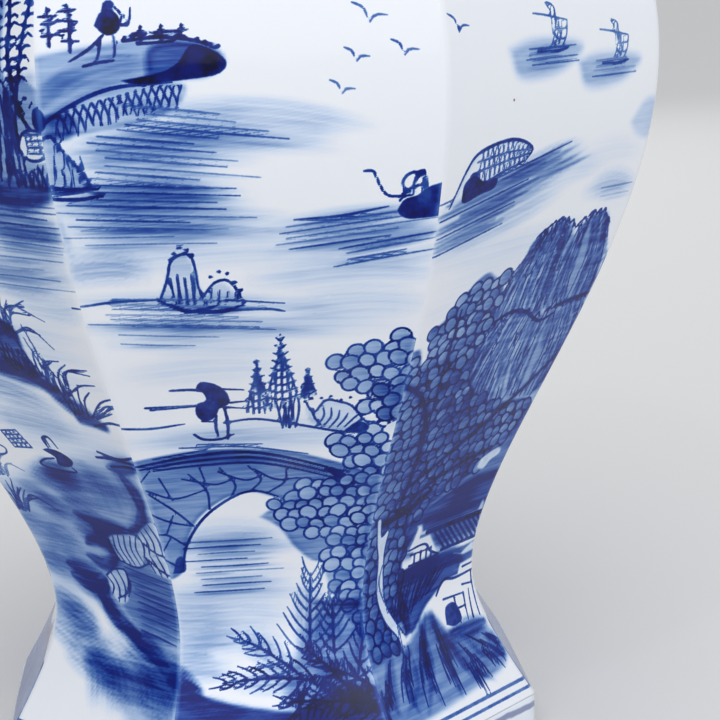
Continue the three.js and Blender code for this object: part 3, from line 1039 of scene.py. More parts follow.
    # leaf clusters over the bridge's right end
    leaf_cells(c, [(12, 106.4), (15, 110.6), (22, 110.4), (28, 113), (34.5, 112), (33.5, 102), (31, 94.5),
            (24, 93.6), (22, 98.4), (17, 101.6)], 3.8, 0.34, 0.8, 1, 0.46)
    leaf_cells(c, [(26, 101), (32, 103), (31, 95), (25, 94.6)], 3.8, 0.6, 0.84, 1, 0.48)
    leaf_cells(c, [(14, 88), (20, 90.4), (26.6, 90), (31, 84), (27.5, 78), (21, 80), (15, 84)], 3.6, 0.34,
            0.8, 1, 0.46)
    c.fill([(-1.4, 70), (3, 66.6), (6.4, 61), (11, 57), (16, 60), (12, 70), (4, 73)], 0.4, 1.2, 0.05)
    leaf_cells(c, [(0, 72), (7, 77), (14, 79.6), (25, 79), (26.4, 66), (24.6, 59), (17, 59), (10, 64),
            (3, 67)], 3.5, 0.4, 0.78, 1, 0.44)
    leaf_cells(c, [(12, 58), (18, 60), (24.6, 60), (23.6, 48), (23.2, 38), (19, 40), (14.5, 48)], 3.4, 0.36,
            0.66, 1, 0.42, 0.3)
    c.swash([(31, 112), (31.6, 100), (28, 90)], 4, 0.34, 3)
    c.swash([(24, 80), (24.6, 66), (22.6, 46)], 5, 0.32, 3)
    # ferns and the dark near shore
    c.fill([(2, 28), (5, 34), (10, 43), (16, 46), (23.5, 46), (26, 24), (4, 22)], 0.32, 4, 0)
    c.swash([(22, 42), (18, 33), (8, 26)], 6, 0.3, 3)
    c.swash([(10, 46), (15, 45.4), (23, 44.6)], 2.4, 0.5, 1.4)
    for root, tip, needle, tone in (((8.4, 33), (9.6, 53), 8.4, 0.66), ((14, 34), (14.4, 46), 6, 0.7),
            ((4, 31), (-7, 38.6), 6.4, 0.7),
            ((9, 28.6), (-11, 29.4), 6.4, 0.86), ((19, 28), (22, 41), 5.4, 0.72),
            ((18, 24.6), (8, 35), 6, 0.8), ((25, 22), (2, 24.4), 5.4, 0.88), ((24, 25), (12, 31), 5.4, 0.8)):
        c.swash([root, ((root[0] + tip[0]) / 2, (root[1] + tip[1]) / 2), tip], needle * 0.8, 0.3, 3)
        frond(c, root, tip, needle * 1.15, 2.3, tone, 0.46)
    for k in range(9):
        c.line([(22 + c.jitter(3), 21), (20 - k, 25 + c.jitter(1)), (17 - 1.6 * k, 27.5 + 0.4 * k)], 0.5,
                0.88, (1, 0.1))
    c.fill([(-26.5, 37), (-24, 31.5), (-18, 27.5), (-8, 24.2), (6, 22.2), (16, 24), (27, 26), (29, 12),
            (-29, 12)], 0.74, 1.4, 0.12)
    for k in range(7):
        c.swash([(-25 + 5 * k, 29 - 1.4 * k), (-20 + 5 * k, 25 - k), (-14 + 5 * k, 21.6 - 0.8 * k)], 3.2,
                0.34 + c.jitter(0.14), 1.2)
    bank(c, [(-26, 35), (-22.6, 31), (-18, 28)], 3.2, 0.94)
    bank(c, [(6, 22), (14, 23.6), (26, 25)], 3, 0.9)
    for k in range(16):
        x = 2 + 1.5 * k
        c.line([(x, 20.6), (x + 1.5 + c.jitter(1.5), 23.4), (x + 2.4 + c.jitter(3), 26.6 + c.jitter(2))],
                0.6, 0.9)

# %% The wall to its right


def paint_front_right(c):
    bird(c, -35.2, 177, 3.2)
    sail_boat(c, -1.5, 170.6, 7.8)
    sail_boat(c, 22.6, 166.4, 7.2, 0.54)
    for x0, x1, z, strength in ((-38, 30, 128, 0.1), (-30, 20, 123, 0.06), (-34, -10, 117, 0.05),
            (10, 38, 145, 0.07)):
        c.swash([(x0, z), ((x0 + x1) / 2, z + 1), (x1, z)], 6, strength, 4)
    # the covered boat and its long slanting wake
    c.swash([(-40, 137), (-20, 140.6), (0, 145.6), (12, 148)], 9, 0.34, 2.4)
    c.swash([(-10, 141), (6, 143.4), (22, 143)], 6, 0.14, 3)
    c.swash([(-40, 131), (-14, 135.6), (8, 140)], 7, 0.24, 3)
    for k in range(13):
        start = -40 + abs(c.jitter(5)) * (k % 3)
        z = 144 - 0.95 * k
        reach = (46 - 1.5 * k) * c.draw.uniform(0.66, 1.05)
        run = [(x, z + 0.19 * (x + 40) - 3) for x in (start, start + reach * 0.6, start + reach)]
        if k % 4 == 0:
            c.line(run, 0.42, 0.66, (0.8, 0.02))
        else:
            c.swash(run, 1, 0.56 + c.jitter(0.12), 0.7)
    for k in range(4):
        c.swash([(-14 + 3 * k, 145 - 0.7 * k), (-3 + 3 * k, 147.6 - 1.1 * k),
                (8 + 2.6 * k, 150.6 - 1.5 * k)], 1, 0.44, 0.8)
    covered_boat(c, -21.5, 142.2, 27)
    c.fill([(30, 152), (35, 156.4), (40, 156), (39, 148), (33, 149)], 0.2, 2.4, 0)
    c.swash([(17, 137.6), (28, 138.4), (38, 136)], 6, 0.22, 3)
    water(c, 22, 39, 137.6, 134, 3, -0.01, 0.4, 0.4, 0.3, 0.06)
    # willows
    c.fill([(-8, 112), (-3, 122), (4, 129), (12, 131.4), (17, 128), (24, 131.6), (30, 129), (34, 112),
            (33, 96), (26, 78), (10, 88), (2, 92), (-9, 99)], 0.22, 2.4, 0.05)
    willow(c, [(2, 129), (8, 131.6), (12, 131.6), (15.6, 129.6)], [(-8, 112), (0, 111), (9, 110), (15, 111)],
            19, 0.14)
    willow(c, [(18, 129.6), (22, 131.6), (27, 131.6), (30, 129)], [(16, 110), (22, 110), (29, 110),
            (33.6, 112)], 16, 0.2, 0.66)
    willow(c, [(-5, 110), (1, 111.6), (8, 110.6), (12, 108)], [(-10, 97), (-4, 90), (5, 88), (12, 88)], 17,
            0.14)
    willow(c, [(13, 109), (18, 109.6), (25, 110), (31, 110.6)], [(12, 90), (18, 88), (25, 87), (31, 93)], 14,
            0.22, 0.66)
    c.swash([(12, 128), (11, 118), (12, 108), (11, 94)], 2.6, 0.4, 1.6)
    c.swash([(20, 110), (19.6, 104), (22, 98)], 2, 0.4, 1.6)
    c.lines(0.9, 0.85, [(-6, 110), (0, 112), (7, 111), (14, 107.6), (20, 108.6)],
            [(20, 110.4), (26, 111), (33, 111.4)])
    c.swash([(32, 106), (30, 95), (28, 82)], 7, 0.24, 3)
    # foliage that covers the bank
    c.fill([(-12, 72), (26, 84), (30, 76), (24, 54), (-8, 52), (-12, 60)], 0.5, 3, 0)
    c.swash([(18, 82), (24, 78), (26, 72)], 5, 0.3, 3)
    leaf_cells(c, [(-36, 108), (-31, 109), (-27, 104), (-18, 104), (-12, 106), (-6, 97), (2, 91), (12, 88),
            (24, 86),
            (24.6, 81), (20, 74), (12, 70), (6, 68), (-2, 65), (-10, 62), (-21, 64), (-27, 74), (-31, 86)],
            3.3, 0.56, 0.8, 1.1, 0.44, 0.66)
    leaf_cells(c, [(-28.4, 113), (-25, 115), (-21, 119), (-18, 122), (-14, 123.4), (-10, 121.6), (-6.4, 121),
            (-6.6, 113), (-9, 104), (-14, 97), (-20, 97), (-26, 104)], 3.5, 0.52, 0.84, 1, 0.46, 0.6)
    leaf_cells(c, [(-26.4, 66), (-20, 66), (-11, 65), (-8.6, 58), (-7.4, 46), (-5.4, 35), (-14, 31),
            (-22.6, 32), (-23.6, 50)], 3.2, 0.58, 0.8, 1.2, 0.44, 0.7)
    leaf_cells(c, [(-10, 95), (-6.6, 96), (-5, 92), (-9, 91)], 2.8, 0.26, 0.72)
    c.fill([(-30, 100), (-20, 106), (-8, 97), (10, 88), (12, 72), (-8, 62), (-24, 64), (-28, 84)], 0.2, 5, 0)
    for points, width, strength in (([(-32, 101), (-24, 97), (-18, 90), (-15, 80), (-15, 66)], 3, 0.62),
            ([(-15, 72), (-4, 77), (8, 83), (20, 90), (30, 97)], 2.4, 0.52),
            ([(-14, 66), (-6, 71), (6, 74), (16, 75)], 2.4, 0.5), ([(-20, 116), (-19, 104), (-16, 88)], 1.6,
            0.4), ([(-19, 64), (-10, 66), (-4, 69)], 4, 0.6)):
        c.swash(points, width, strength, 1.2)
        c.line(points, width * 0.42, 0.82, (0.9, 0.5))
    # dark hollow above the roofs, roofs and windows
    c.leave_white([(13, 70.6), (13.6, 72.6), (16, 73.6), (20, 74.4), (21, 72.6), (18, 71.4), (16, 69.6)],
            0.25)
    c.fill([(-9, 52), (-8, 62), (-2, 64.4), (10, 67.4), (23.6, 66.6), (24.6, 56), (22, 56), (0, 57),
            (-3, 60)], 0.62, 1.2, 0.1)
    bank(c, [(8, 65.6), (16, 66.4), (24, 67)], 2.6, 0.86)
    bank(c, [(-2, 60.6), (10, 60), (22, 60)], 3, 0.7)
    c.leave_white([(-5, 60), (-3.4, 60), (-2, 57.8), (20, 57.6), (21, 60.4), (22, 59), (22, 57), (2, 56.6),
            (-3, 57)], 0.3, False)
    tiled_roof(c, (1, 50.4), (21.6, 56.8), 6.4, 0.84)
    c.leave_white([(-6.4, 53.4), (-5, 56), (-4, 59.4), (-3, 59.2), (-2.6, 56), (1.4, 56), (6.6, 49.6),
            (-5, 49.4), (-4, 53)], 0.1, False)
    for x in (-3.4, -1, 1.2, 3):
        c.line([(x, 52.4), (x + 0.4, 49.8)], 0.6, 0.8, (1, 1))
    c.lines(0.6, 0.85, [(-6, 53.8), (0, 54), (3, 51.4), (6.4, 49.8)], [(-5, 52.4), (2, 52.2)],
            [(-5, 49.6), (6.6, 49.6)])
    c.fill([(-9, 49), (4, 49.6), (17, 49), (22.6, 49), (22.6, 44), (17, 42), (9, 41), (2, 38), (-7, 33.6)],
            0.66, 1, 0.1)
    bank(c, [(-8, 46.4), (2, 47.6), (13, 47.4), (17, 44)], 3.2, 0.8)
    c.hatch([(-8, 46), (10, 46)], [(-10, 36), (4, 40)], -1, 14, 0.5, 0.8)
    c.leave_white([(13, 48), (16, 47.2), (20, 49), (22.6, 49), (22.6, 47), (17, 46.6)], 0.2, False)
    c.leave_white([(5.6, 39), (9.6, 42), (15, 42), (16, 44.4), (22.8, 45), (22.8, 41), (20.6, 40.6),
            (20.6, 30.6), (9, 30.4), (6, 32), (8, 36)], 0.05, False)
    c.lines(0.66, 0.86, [(6, 39), (9.4, 42), (14, 41.4), (21.4, 41.8)], [(20.4, 41.4), (20.2, 30.4)],
            [(8.4, 37.4), (16.6, 37)],
            [(12.6, 37), (12.6, 30.6)], [(16.4, 37), (15.6, 30.6)], [(17.6, 30.6), (18.6, 37.4)],
            [(13, 34), (16, 34)], [(16.4, 39), (20.2, 38.6)], [(17, 43.4), (22, 43.6)])
    c.solid([(7.2, 31.6), (8.6, 35.4), (12.4, 35.6), (13.4, 31.6), (10, 30.6)], 0.86)
    bank(c, [(8, 29.2), (15, 28.8), (20.6, 28.8)], 3, 0.86)
    # the pale forked trunk
    trunk = [(-22.4, 66), (-20.8, 66), (-18.6, 61), (-16.4, 62.6), (-16, 57), (-14.6, 50), (-13.2, 43),
            (-10.6, 38), (-8.4, 33.6),
            (-8.8, 29), (-10.6, 29), (-10.8, 33.4), (-13.8, 38), (-16.4, 45), (-17.6, 54), (-19.6, 59)]
    c.leave_white(trunk, 0.2)
    c.outline(trunk, 0.4, 0.7)
    c.lines(0.36, 0.6, [(-15.4, 55), (-15.8, 48), (-12.6, 41)], [(-14, 46), (-12.6, 40)],
            [(-10, 36), (-9.6, 31)])
    c.leave_white([(-9.6, 34), (-6, 32.4), (-2.4, 33.8), (-6, 31.4), (-9.4, 31.8)], 0.3)
    # striated rocks running down to the foot
    c.fill([(-24, 34), (-10, 31), (2, 36), (9, 28), (21, 27.6), (24, 20), (12, 17), (-28, 16.6)], 0.44, 2.4,
            0)
    c.swash([(1, 36), (4, 30), (10, 24), (18, 18)], 4, 0.4, 3)
    c.swash([(-20, 30), (-24, 22)], 6, 0.4, 3)
    c.swash([(-2, 32), (-8, 24), (-13, 18)], 4, 0.36, 2)
    flows = (((-22, 33), (-26, 16)), ((-16, 31), (-23, 15)), ((-9, 31), (-16, 14)), ((0, 36), (-8, 13)),
            ((3, 36), (3, 13)), ((6, 31), (13, 13)), ((12, 28), (22, 17)), ((18, 27), (26, 18)))
    for (x0, z0), (x1, z1) in flows:
        for k in range(6):
            dx = -3.4 + 1.35 * k + c.jitter(0.3)
            at = c.draw.uniform(0, 0.55)
            end = at + c.draw.uniform(0.3, 0.5)
            bow = 1.6 * np.sign(x1 - x0)
            c.line([(x0 + (x1 - x0) * t + dx * (0.3 + 0.7 * t) + bow * math.sin(math.pi * t),
                    z0 + (z1 - z0) * t)
                    for t in (at, (at + end) / 2, end)], 0.5, 0.78 + c.jitter(0.14), (0.6, 0.1))
        for k in range(3):
            c.swash([(x0 + c.jitter(2), z0), ((x0 + x1) / 2 + c.jitter(2), (z0 + z1) / 2),
                    (x1 + c.jitter(4), z1 + 3)], 1.8, 0.4, 0.9)
    bank(c, [(-25, 27), (-25, 22), (-27, 17)], 3.4, 0.9)

# %% The wall to its left


def paint_front_left(c):
    # pines and rocks at the water's edge
    c.fill([(27, 200), (31.6, 196), (31, 180), (32, 172), (42, 172), (43, 150), (22, 148), (24, 186)], 0.4,
            2.4, 0.1)
    c.leave_white([(31, 183), (32, 178), (31.8, 171), (30.6, 174)], 0.2)
    c.leave_white([(35, 190), (43, 190), (43, 171), (37, 172), (36, 180)], 0.45)
    for points, width in (([(31.6, 192), (32.8, 184), (32.4, 176), (34, 168), (36, 165)], 1.1),
            ([(39, 188), (36.8, 180), (35.2, 172), (33, 162), (33.6, 152)], 0.9),
            ([(28, 190), (29, 176), (27, 160)], 1.6), ([(33, 168), (36, 163), (39, 160)], 1)):
        c.line(points, width, 0.95, (0.9, 0.5))
    for z in np.arange(171, 196, 2.1):
        for x, hand, reach in ((33, 1, 2.4), (32.6, -1, 1.2), (35.4 + (z - 172) * 0.22, -1, 1.6),
                (35.4 + (z - 172) * 0.22, 1, 2.6), (28.6, -1, 3), (28.6, 1, 2)):
            c.line([(x, z), (x + hand * reach * 0.5, z + 0.9 + c.jitter(0.4)),
                    (x + hand * reach, z + 0.3 + c.jitter(0.6))], 0.55, 0.9, (1, 0.4))
    c.hatch([(24, 170), (30, 172), (33, 168)], [(22, 152), (28, 150), (32, 151)], -1, 15, 0.7, 0.86, 1.5,
            0.6)
    c.leave_white([(33, 157), (33.6, 160.4), (38, 161.6), (42, 160.4), (42.6, 157), (38, 155)], 0.2)
    lattice(c, [(35.2, 160.6), (40.6, 161), (41, 157), (35.4, 157)], 3, 3, 0.7, 0.36)
    c.outline([(32.8, 158.4), (34.6, 161), (38, 161.6), (42, 160.6), (42, 157.6), (38, 155.6), (34.4, 156)],
            0.6, 0.86)
    c.solid([(38, 163), (38.6, 165.6), (41, 166.2), (43.4, 163.6), (41.6, 161.6), (39, 161.6)], 0.97)
    for k in range(9):
        c.dab(35 + 0.7 * k, 166.6 + c.jitter(1.6), 0.3, 0.9)
        c.line([(31 + 1.3 * k, 154.6 - c.draw.uniform(0, 1.5)), (30 + 1.3 * k, 152), (30 + 1.2 * k, 150)],
                0.6, 0.86)
    bank(c, [(20, 149.4), (30, 148.6), (42, 150)], 3.6, 0.94)
    c.swash([(22, 147), (28, 146.6)], 4, 0.8, 1.4)
    water(c, 14, 43, 147, 136, 12, -0.04, 0.56, 0.46, 0.3, 0.34)
    c.swash([(14, 143), (26, 142), (39, 141)], 8, 0.36, 3)
    water(c, 8, 39, 135, 127, 6, -0.02, 0.4, 0.34, 0.4, 0.22)
    c.swash([(6, 131), (22, 130), (38, 132)], 8, 0.26, 4)
    c.swash([(14, 124), (28, 123), (36, 124)], 6, 0.16, 4)
    c.line([(33.4, 124.2), (36.6, 124)], 0.8, 0.85)
    # grasses and the dark outcrop
    grass(c, 9.6, 117, 13, 11, 0.7, 0.75, 2)
    c.fill([(-3, 111), (3, 116), (8, 119.6), (11.4, 117), (11, 112), (12, 106), (4, 106)], 0.6, 1.2, 0.2)
    bank(c, [(1, 115), (6, 118), (10, 116)], 3, 0.94)
    c.hatch([(2, 114), (9, 113)], [(3, 107), (11, 107)], 0, 7, 0.6, 0.84)
    for points, width in (([(-6, 108), (2, 107.4), (10, 105.4), (15, 103)], 3.6),
            ([(12, 104), (18, 99.4), (25, 95)], 3.4),
            ([(18, 96), (25, 95)], 2.4), ([(6, 106.4), (14, 103)], 1.6)):
        bank(c, points, width, 0.86)
    grass(c, 17, 102.6, 14, 9, 0.82, 0.4, 3)
    grass(c, 21, 97.6, 14, 8, 0.8, 0.6, 4)
    grass(c, 12, 106, 8, 6, 0.74, 0.1, 3)
    c.lines(0.7, 0.82, [(22, 95), (28, 96.4), (33, 95.4)], [(24, 97), (30, 99)])
    c.swash([(-12, 102), (0, 101), (14, 97)], 7, 0.34, 4)
    c.swash([(-14, 95), (2, 94), (16, 92)], 7, 0.26, 4)
    for z in (117, 112, 106, 92, 88):
        c.swash([(-14, z), (10, z + 0.5), (34, z - 1)], 6, 0.12, 4)
    # a fish net and a punt
    lattice(c, [(-13.4, 89.6), (-7.6, 90.4), (-5, 86), (-11.6, 85.4)], 4, 4, 0.72, 0.4)
    c.lines(0.5, 0.7, [(-23, 83), (-19, 85.4), (-15.6, 84.6), (-16.4, 83), (-20, 82.4)],
            [(-22, 81.4), (-17, 82.6)])
    c.solid([(-1.6, 86), (1, 86.6), (4.6, 86), (7.2, 84), (5, 82.2), (1.4, 82.4), (1.6, 84.4)], 0.92)
    c.lines(0.6, 0.8, [(1, 86.8), (0.6, 89.2), (3, 89.8), (4.4, 87)],
            [(1, 84), (-3, 83.2), (-5, 81.6), (0, 80.8), (6.4, 81), (5.6, 82.4)], [(1.6, 89.4), (1.8, 87)])
    # washes slanting down to the waist
    c.fill([(-27, 74), (-18, 76), (-8, 80), (6, 84), (16, 86), (28, 86), (24, 60), (23, 40), (-10, 46),
            (-24, 52)], 0.34, 8, 0)
    for k in range(26):
        x = c.draw.uniform(-20, 14)
        z = c.draw.uniform(60, 84) - max(0, -x) * 0.6
        c.swash([(x - 5, z + 1.5), (x, z), (x + 6, z - 2.5)], 6.5, 0.2 + c.jitter(0.08), 3)
    for k in range(12):
        c.swash([(8 + 1.1 * k, 84 - c.draw.uniform(0, 3)), (8 + 1.1 * k, 76), (8 + k, 70)], 3.2,
                0.1 + c.jitter(0.05), 2)
    c.lines(0.8, 0.86, [(16.6, 86.4), (22, 86.6), (31, 85.6)], [(20, 84.4), (26, 85), (30, 84)],
            [(18, 88), (24, 86.8), (30, 88)])
    lobes = (([(30, 86), (24, 84.6), (19, 84)], 3.2), ([(22, 82), (23.4, 78), (22.6, 72)], 3),
            ([(23, 74), (20, 68.6), (15, 66.4)], 3),
            ([(15, 66.4), (6, 66.6), (-2, 69)], 2.8), ([(3, 65), (5, 62), (5.6, 58)], 3.4),
            ([(5.6, 58), (1, 55.4), (-4, 57)], 3.2),
            ([(4, 61), (0, 62), (-3, 60.4)], 2.4), ([(-12.6, 53.4), (-7, 52.4), (-2, 52.6)], 3),
            ([(-12, 50.4), (-6, 48.8), (-1, 49)], 3.6),
            ([(-1, 51), (-3, 46.6), (1, 42)], 3.4), ([(-3, 43.6), (2, 40.6), (8, 38)], 3.4),
            ([(4, 39), (12, 35.8), (18, 33)], 3.2), ([(15, 33.6), (20, 32), (26, 29.6)], 3.4))
    for points, width in lobes:
        c.swash(points, width * 1.9, 0.36, 2.2)
        c.swash(points, width * 1.25, 0.62, 0.8)
        c.swash([(x, z - width * 0.25) for x, z in points], width * 0.7, 0.4, 0.8)
    # ribbed stones under the banks, and the water beyond them
    c.fill([(6, 64), (18, 64), (24, 72), (24.6, 34), (12, 38), (4, 44), (2, 52)], 0.22, 1.6, 0)
    water(c, 7, 25, 56, 39, 15, -0.16, 0.56, 0.46, 0.3, 0.16)
    for top, foot, count, curl in (([(6, 63.6), (10, 65), (16, 65)], [(7, 57.4), (11, 56.6), (15, 58)], 6,
            -1.2), ([(17, 66), (21, 69), (24.6, 70)], [(16, 60), (20, 61), (25, 63)], 5, 0.8),
            ([(16, 59.6), (21, 61), (25, 62)], [(18, 56), (22, 55), (25, 55.6)], 5, 0.2),
            ([(0, 52), (3, 54.4), (7, 55)], [(0.4, 47.6), (3, 45.4), (6, 47.6)], 4, 1.2)):
        c.leave_white(list(top) + list(foot)[::-1], 0.5)
        c.hatch(top, foot, 0, count, 0.5, 0.74, 0.3, curl)
    c.lines(0.5, 0.76, [(0, 52.4), (3.6, 54.6), (7.4, 54.6), (6, 49), (2, 46.6)],
            [(6, 57.6), (12, 56.4), (17, 58.4)],
            [(16, 66), (20, 62), (25, 60.6)], [(16.4, 60), (20, 57), (25, 55)])
    grass(c, -21.4, 67, 11, 10, 0.66, 0.35, 2)
    grass(c, -22, 76, 7, 7, 0.5, 0.3, 2)
    # blue reflections and the near shore
    for k in range(26):
        x = c.draw.uniform(-22, 18)
        z = 46 - (x + 22) * 0.3 - c.draw.uniform(0, 14)
        c.swash([(x - 5, z + 2.4), (x + 2, z), (x + 8, z - 2.6)], 5.8, 0.25 + c.jitter(0.1), 2.6)
    for k in range(14):
        x = -8 + 2.4 * k
        c.swash([(x, 32 - k * 0.2), (x + 3, 28), (x + 6, 22.4 - c.draw.uniform(0, 3))], 5.4,
                0.24 + c.jitter(0.12), 2.6)
    c.fill([(4, 30), (26, 31), (29, 12), (14, 12)], 0.22, 6, 0)
    bank(c, [(20, 31), (26, 29)], 3, 0.96)

# %% The walls behind


def shore(c, level=26, tilt=0, strength=0.55):
    """The dark near bank that runs round the foot, with grasses along it."""
    points = [(x, level + tilt * x + 1.6 * math.sin(x * 0.23) + c.jitter(0.6)) for x in np.linspace(-28, 28,
            9)]
    c.fill(points + [(29, 12), (-29, 12)], strength, 1.6, 0.14)
    bank(c, points, 2.6, 0.86)


def paint_right(c):
    water(c, -38, 20, 176, 168, 8, 0, 0.36, 0.5, 0.5, 0.1)
    sail_boat(c, 12, 172, 7.6, 0.5)
    bird(c, -14, 184, 2.4)
    bird(c, -4, 188, 2.1, -1)
    c.fill([(-40, 152), (-30, 158), (-18, 155), (-6, 160), (8, 154), (22, 152), (8, 148), (-20, 147)], 0.2,
            2.6, 0.06)
    island(c, -16, 150, 8, 0.6)
    water(c, -38, 30, 148, 138, 14, 0, 0.55, 0.55, 0.5, 0.16)
    island(c, 22, 128, 9)
    water(c, -4, 37, 127, 118, 12, 0, 0.6, 0.6, 0.4, 0.18)
    willow(c, [(-30, 124), (-24, 128), (-17, 127), (-12, 122)], [(-34, 100), (-26, 97), (-16, 98),
            (-8, 101)], 40, 0.34)
    leaf_cells(c, [(-31, 98), (-22, 104), (-12, 103), (-4, 98), (2, 90), (-2, 80), (-12, 74), (-24, 72),
            (-27, 84)], 3.1, 0.5, 0.8, 1.15)
    bough(c, [(-18, 58), (-17, 70), (-20, 84), (-26, 96)], 1.8, 0.8)
    bough(c, [(-17, 72), (-10, 82), (-4, 90)], 1.2, 0.75)
    house(c, (0, 72), (22, 80), (5, 22, 21, 60), (6, 10, 14, 18, 21))
    c.line([(4, 60), (22, 60)], 1.2, 0.85, (1, 1))
    figure(c, 13, 51.5, 0.8, -1, False)
    water(c, -22, 22, 47, 36, 9, 0, 0.5, 0.6, 0.4, 0.16)
    frond(c, (-8, 28), (-18, 46), 6, 2.4)
    frond(c, (-4, 27), (-2, 44), 5.5, 2.4)
    rock(c, [(2, 27), (5, 34), (11, 37), (17, 33), (21, 27)], 0.3, 10)
    shore(c, 26)


def paint_back_right(c):
    bird(c, 8, 186, 2.6)
    bird(c, 15, 181, 2.2)
    c.fill([(-38, 168), (-26, 178), (-16, 172), (-4, 181), (8, 173), (20, 168), (36, 166), (20, 163),
            (-20, 163)], 0.22, 3, 0.08)
    c.line([(-38, 168), (-26, 178), (-16, 172), (-4, 181), (8, 173), (20, 168)], 0.6, 0.5)
    water(c, -38, 30, 162, 154, 10, 0, 0.5, 0.55, 0.5, 0.15)
    covered_boat(c, 8, 141, 26)
    water(c, -28, 34, 138, 128, 14, 0.02, 0.6, 0.6, 0.4, 0.18)
    island(c, -18, 118, 8.4)
    water(c, -34, 14, 117, 110, 9, 0, 0.55, 0.55, 0.4, 0.16)
    for x, z, h in ((8, 84, 19), (15, 86, 23), (22, 84, 15)):
        fir(c, x, z, h, 4.4)
    rock(c, [(2, 80), (6, 87), (13, 90), (20, 87), (27, 80), (24, 74), (6, 74)], 0.24, 14)
    figure(c, -12, 80, 0.95, 1)
    c.line([(-28, 75.4), (-12, 74), (4, 75)], 0.85, 0.8)
    c.fill([(-28, 66), (-10, 70), (10, 66), (24, 60), (22, 52), (2, 56), (-24, 56)], 0.3, 2.4, 0.08)
    bank(c, [(-27, 66), (-12, 68), (4, 66), (24, 59)], 2.2, 0.78)
    water(c, -22, 22, 54, 40, 12, 0, 0.52, 0.6, 0.4, 0.15)
    grass(c, -14, 30, 14, 15, 0.74)
    grass(c, 12, 29, 12, 13, 0.72, 0.2)
    shore(c, 26, 0.04)


def paint_back(c):
    sail_boat(c, -14, 170, 8, 0.5)
    sail_boat(c, 16, 176, 6.4, 0.45)
    bird(c, 0, 186, 2.5)
    willow(c, [(4, 152), (12, 157), (22, 156), (28, 150)], [(-4, 124), (8, 120), (22, 120), (34, 124)], 52,
            0.34)
    leaf_cells(c, [(-2, 122), (8, 127), (20, 126), (32, 122), (31, 108), (22, 100), (8, 102), (-2, 110)],
            3.2, 0.5, 0.8, 1.15)
    bough(c, [(14, 78), (15, 92), (12, 106), (6, 120)], 2.2, 0.82)
    bough(c, [(15, 92), (22, 102), (28, 114)], 1.4, 0.78)
    water(c, -38, -4, 150, 132, 18, 0, 0.56, 0.6, 0.4, 0.16)
    island(c, -22, 122, 8.6)
    water(c, -34, -6, 121, 112, 9, 0, 0.5, 0.6, 0.4, 0.16)
    house(c, (-26, 92), (-2, 100), (-20, -3, -4, 79), (-19, -15, -11, -7, -4))
    lattice(c, [(-15, 90), (-7, 90), (-7, 84), (-15, 84)], 5, 3, 0.7)
    c.line([(-24, 78.6), (24, 76)], 1.2, 0.85)
    c.fill([(-26, 78), (24, 76), (23, 66), (-24, 68)], 0.3, 2, 0.1)
    c.hatch([(-24, 76), (22, 74)], [(-24, 68), (22, 66)], 1.5, 30, 0.6, 0.65)
    water(c, -22, 22, 62, 42, 16, 0, 0.52, 0.6, 0.4, 0.15)
    frond(c, (4, 28), (12, 46), 6, 2.4)
    frond(c, (0, 28), (-8, 44), 5.6, 2.4)
    shore(c, 27)


def paint_back_left(c):
    c.fill([(-38, 178), (-24, 184), (-10, 180), (4, 176), (2, 170), (-20, 168), (-40, 164)], 0.36, 2, 0.12)
    c.solid([(-14, 171), (-6, 176), (2, 175.6), (6, 172.6), (2, 169.4), (-10, 168.6)], 0.9)
    c.hatch([(-38, 164), (-20, 168), (-4, 168.6)], [(-38, 156), (-22, 158), (-8, 160)], -0.5, 34, 0.7, 0.72)
    fir(c, -26, 183, 13, 3.6)
    fir(c, -18, 182, 10, 3)
    bird(c, 24, 184, 2.5)
    bird(c, 18, 178, 2.2)
    water(c, -38, 22, 156, 140, 20, 0, 0.6, 0.6, 0.4, 0.18)
    covered_boat(c, 12, 124, 25)
    water(c, -20, 34, 121, 112, 12, 0, 0.58, 0.6, 0.4, 0.18)
    leaf_cells(c, [(-32, 108), (-24, 113), (-14, 110), (-8, 100), (-12, 88), (-22, 82), (-29, 90)], 3.4,
            0.48, 0.8)
    bough(c, [(-22, 66), (-21, 80), (-24, 96)], 1.8, 0.82)
    rock(c, [(4, 84), (8, 92), (16, 95), (24, 90), (27, 82), (22, 76), (8, 76)], 0.26, 14)
    grass(c, 12, 92, 9, 11)
    figure(c, -5, 82, 0.9, -1)
    c.line([(-27, 76.4), (0, 76), (6, 77)], 0.85, 0.8)
    c.fill([(-27, 70), (-6, 74), (14, 70), (24, 62), (22, 54), (-23, 56)], 0.3, 2.4, 0.08)
    bank(c, [(-26, 69), (-8, 72), (12, 69), (25, 60)], 2.4, 0.78)
    water(c, -22, 22, 52, 38, 12, 0, 0.5, 0.6, 0.4, 0.15)
    frond(c, (-10, 28), (-16, 44), 6, 2.4)
    grass(c, 10, 28, 13, 15, 0.74)
    shore(c, 26, -0.03)


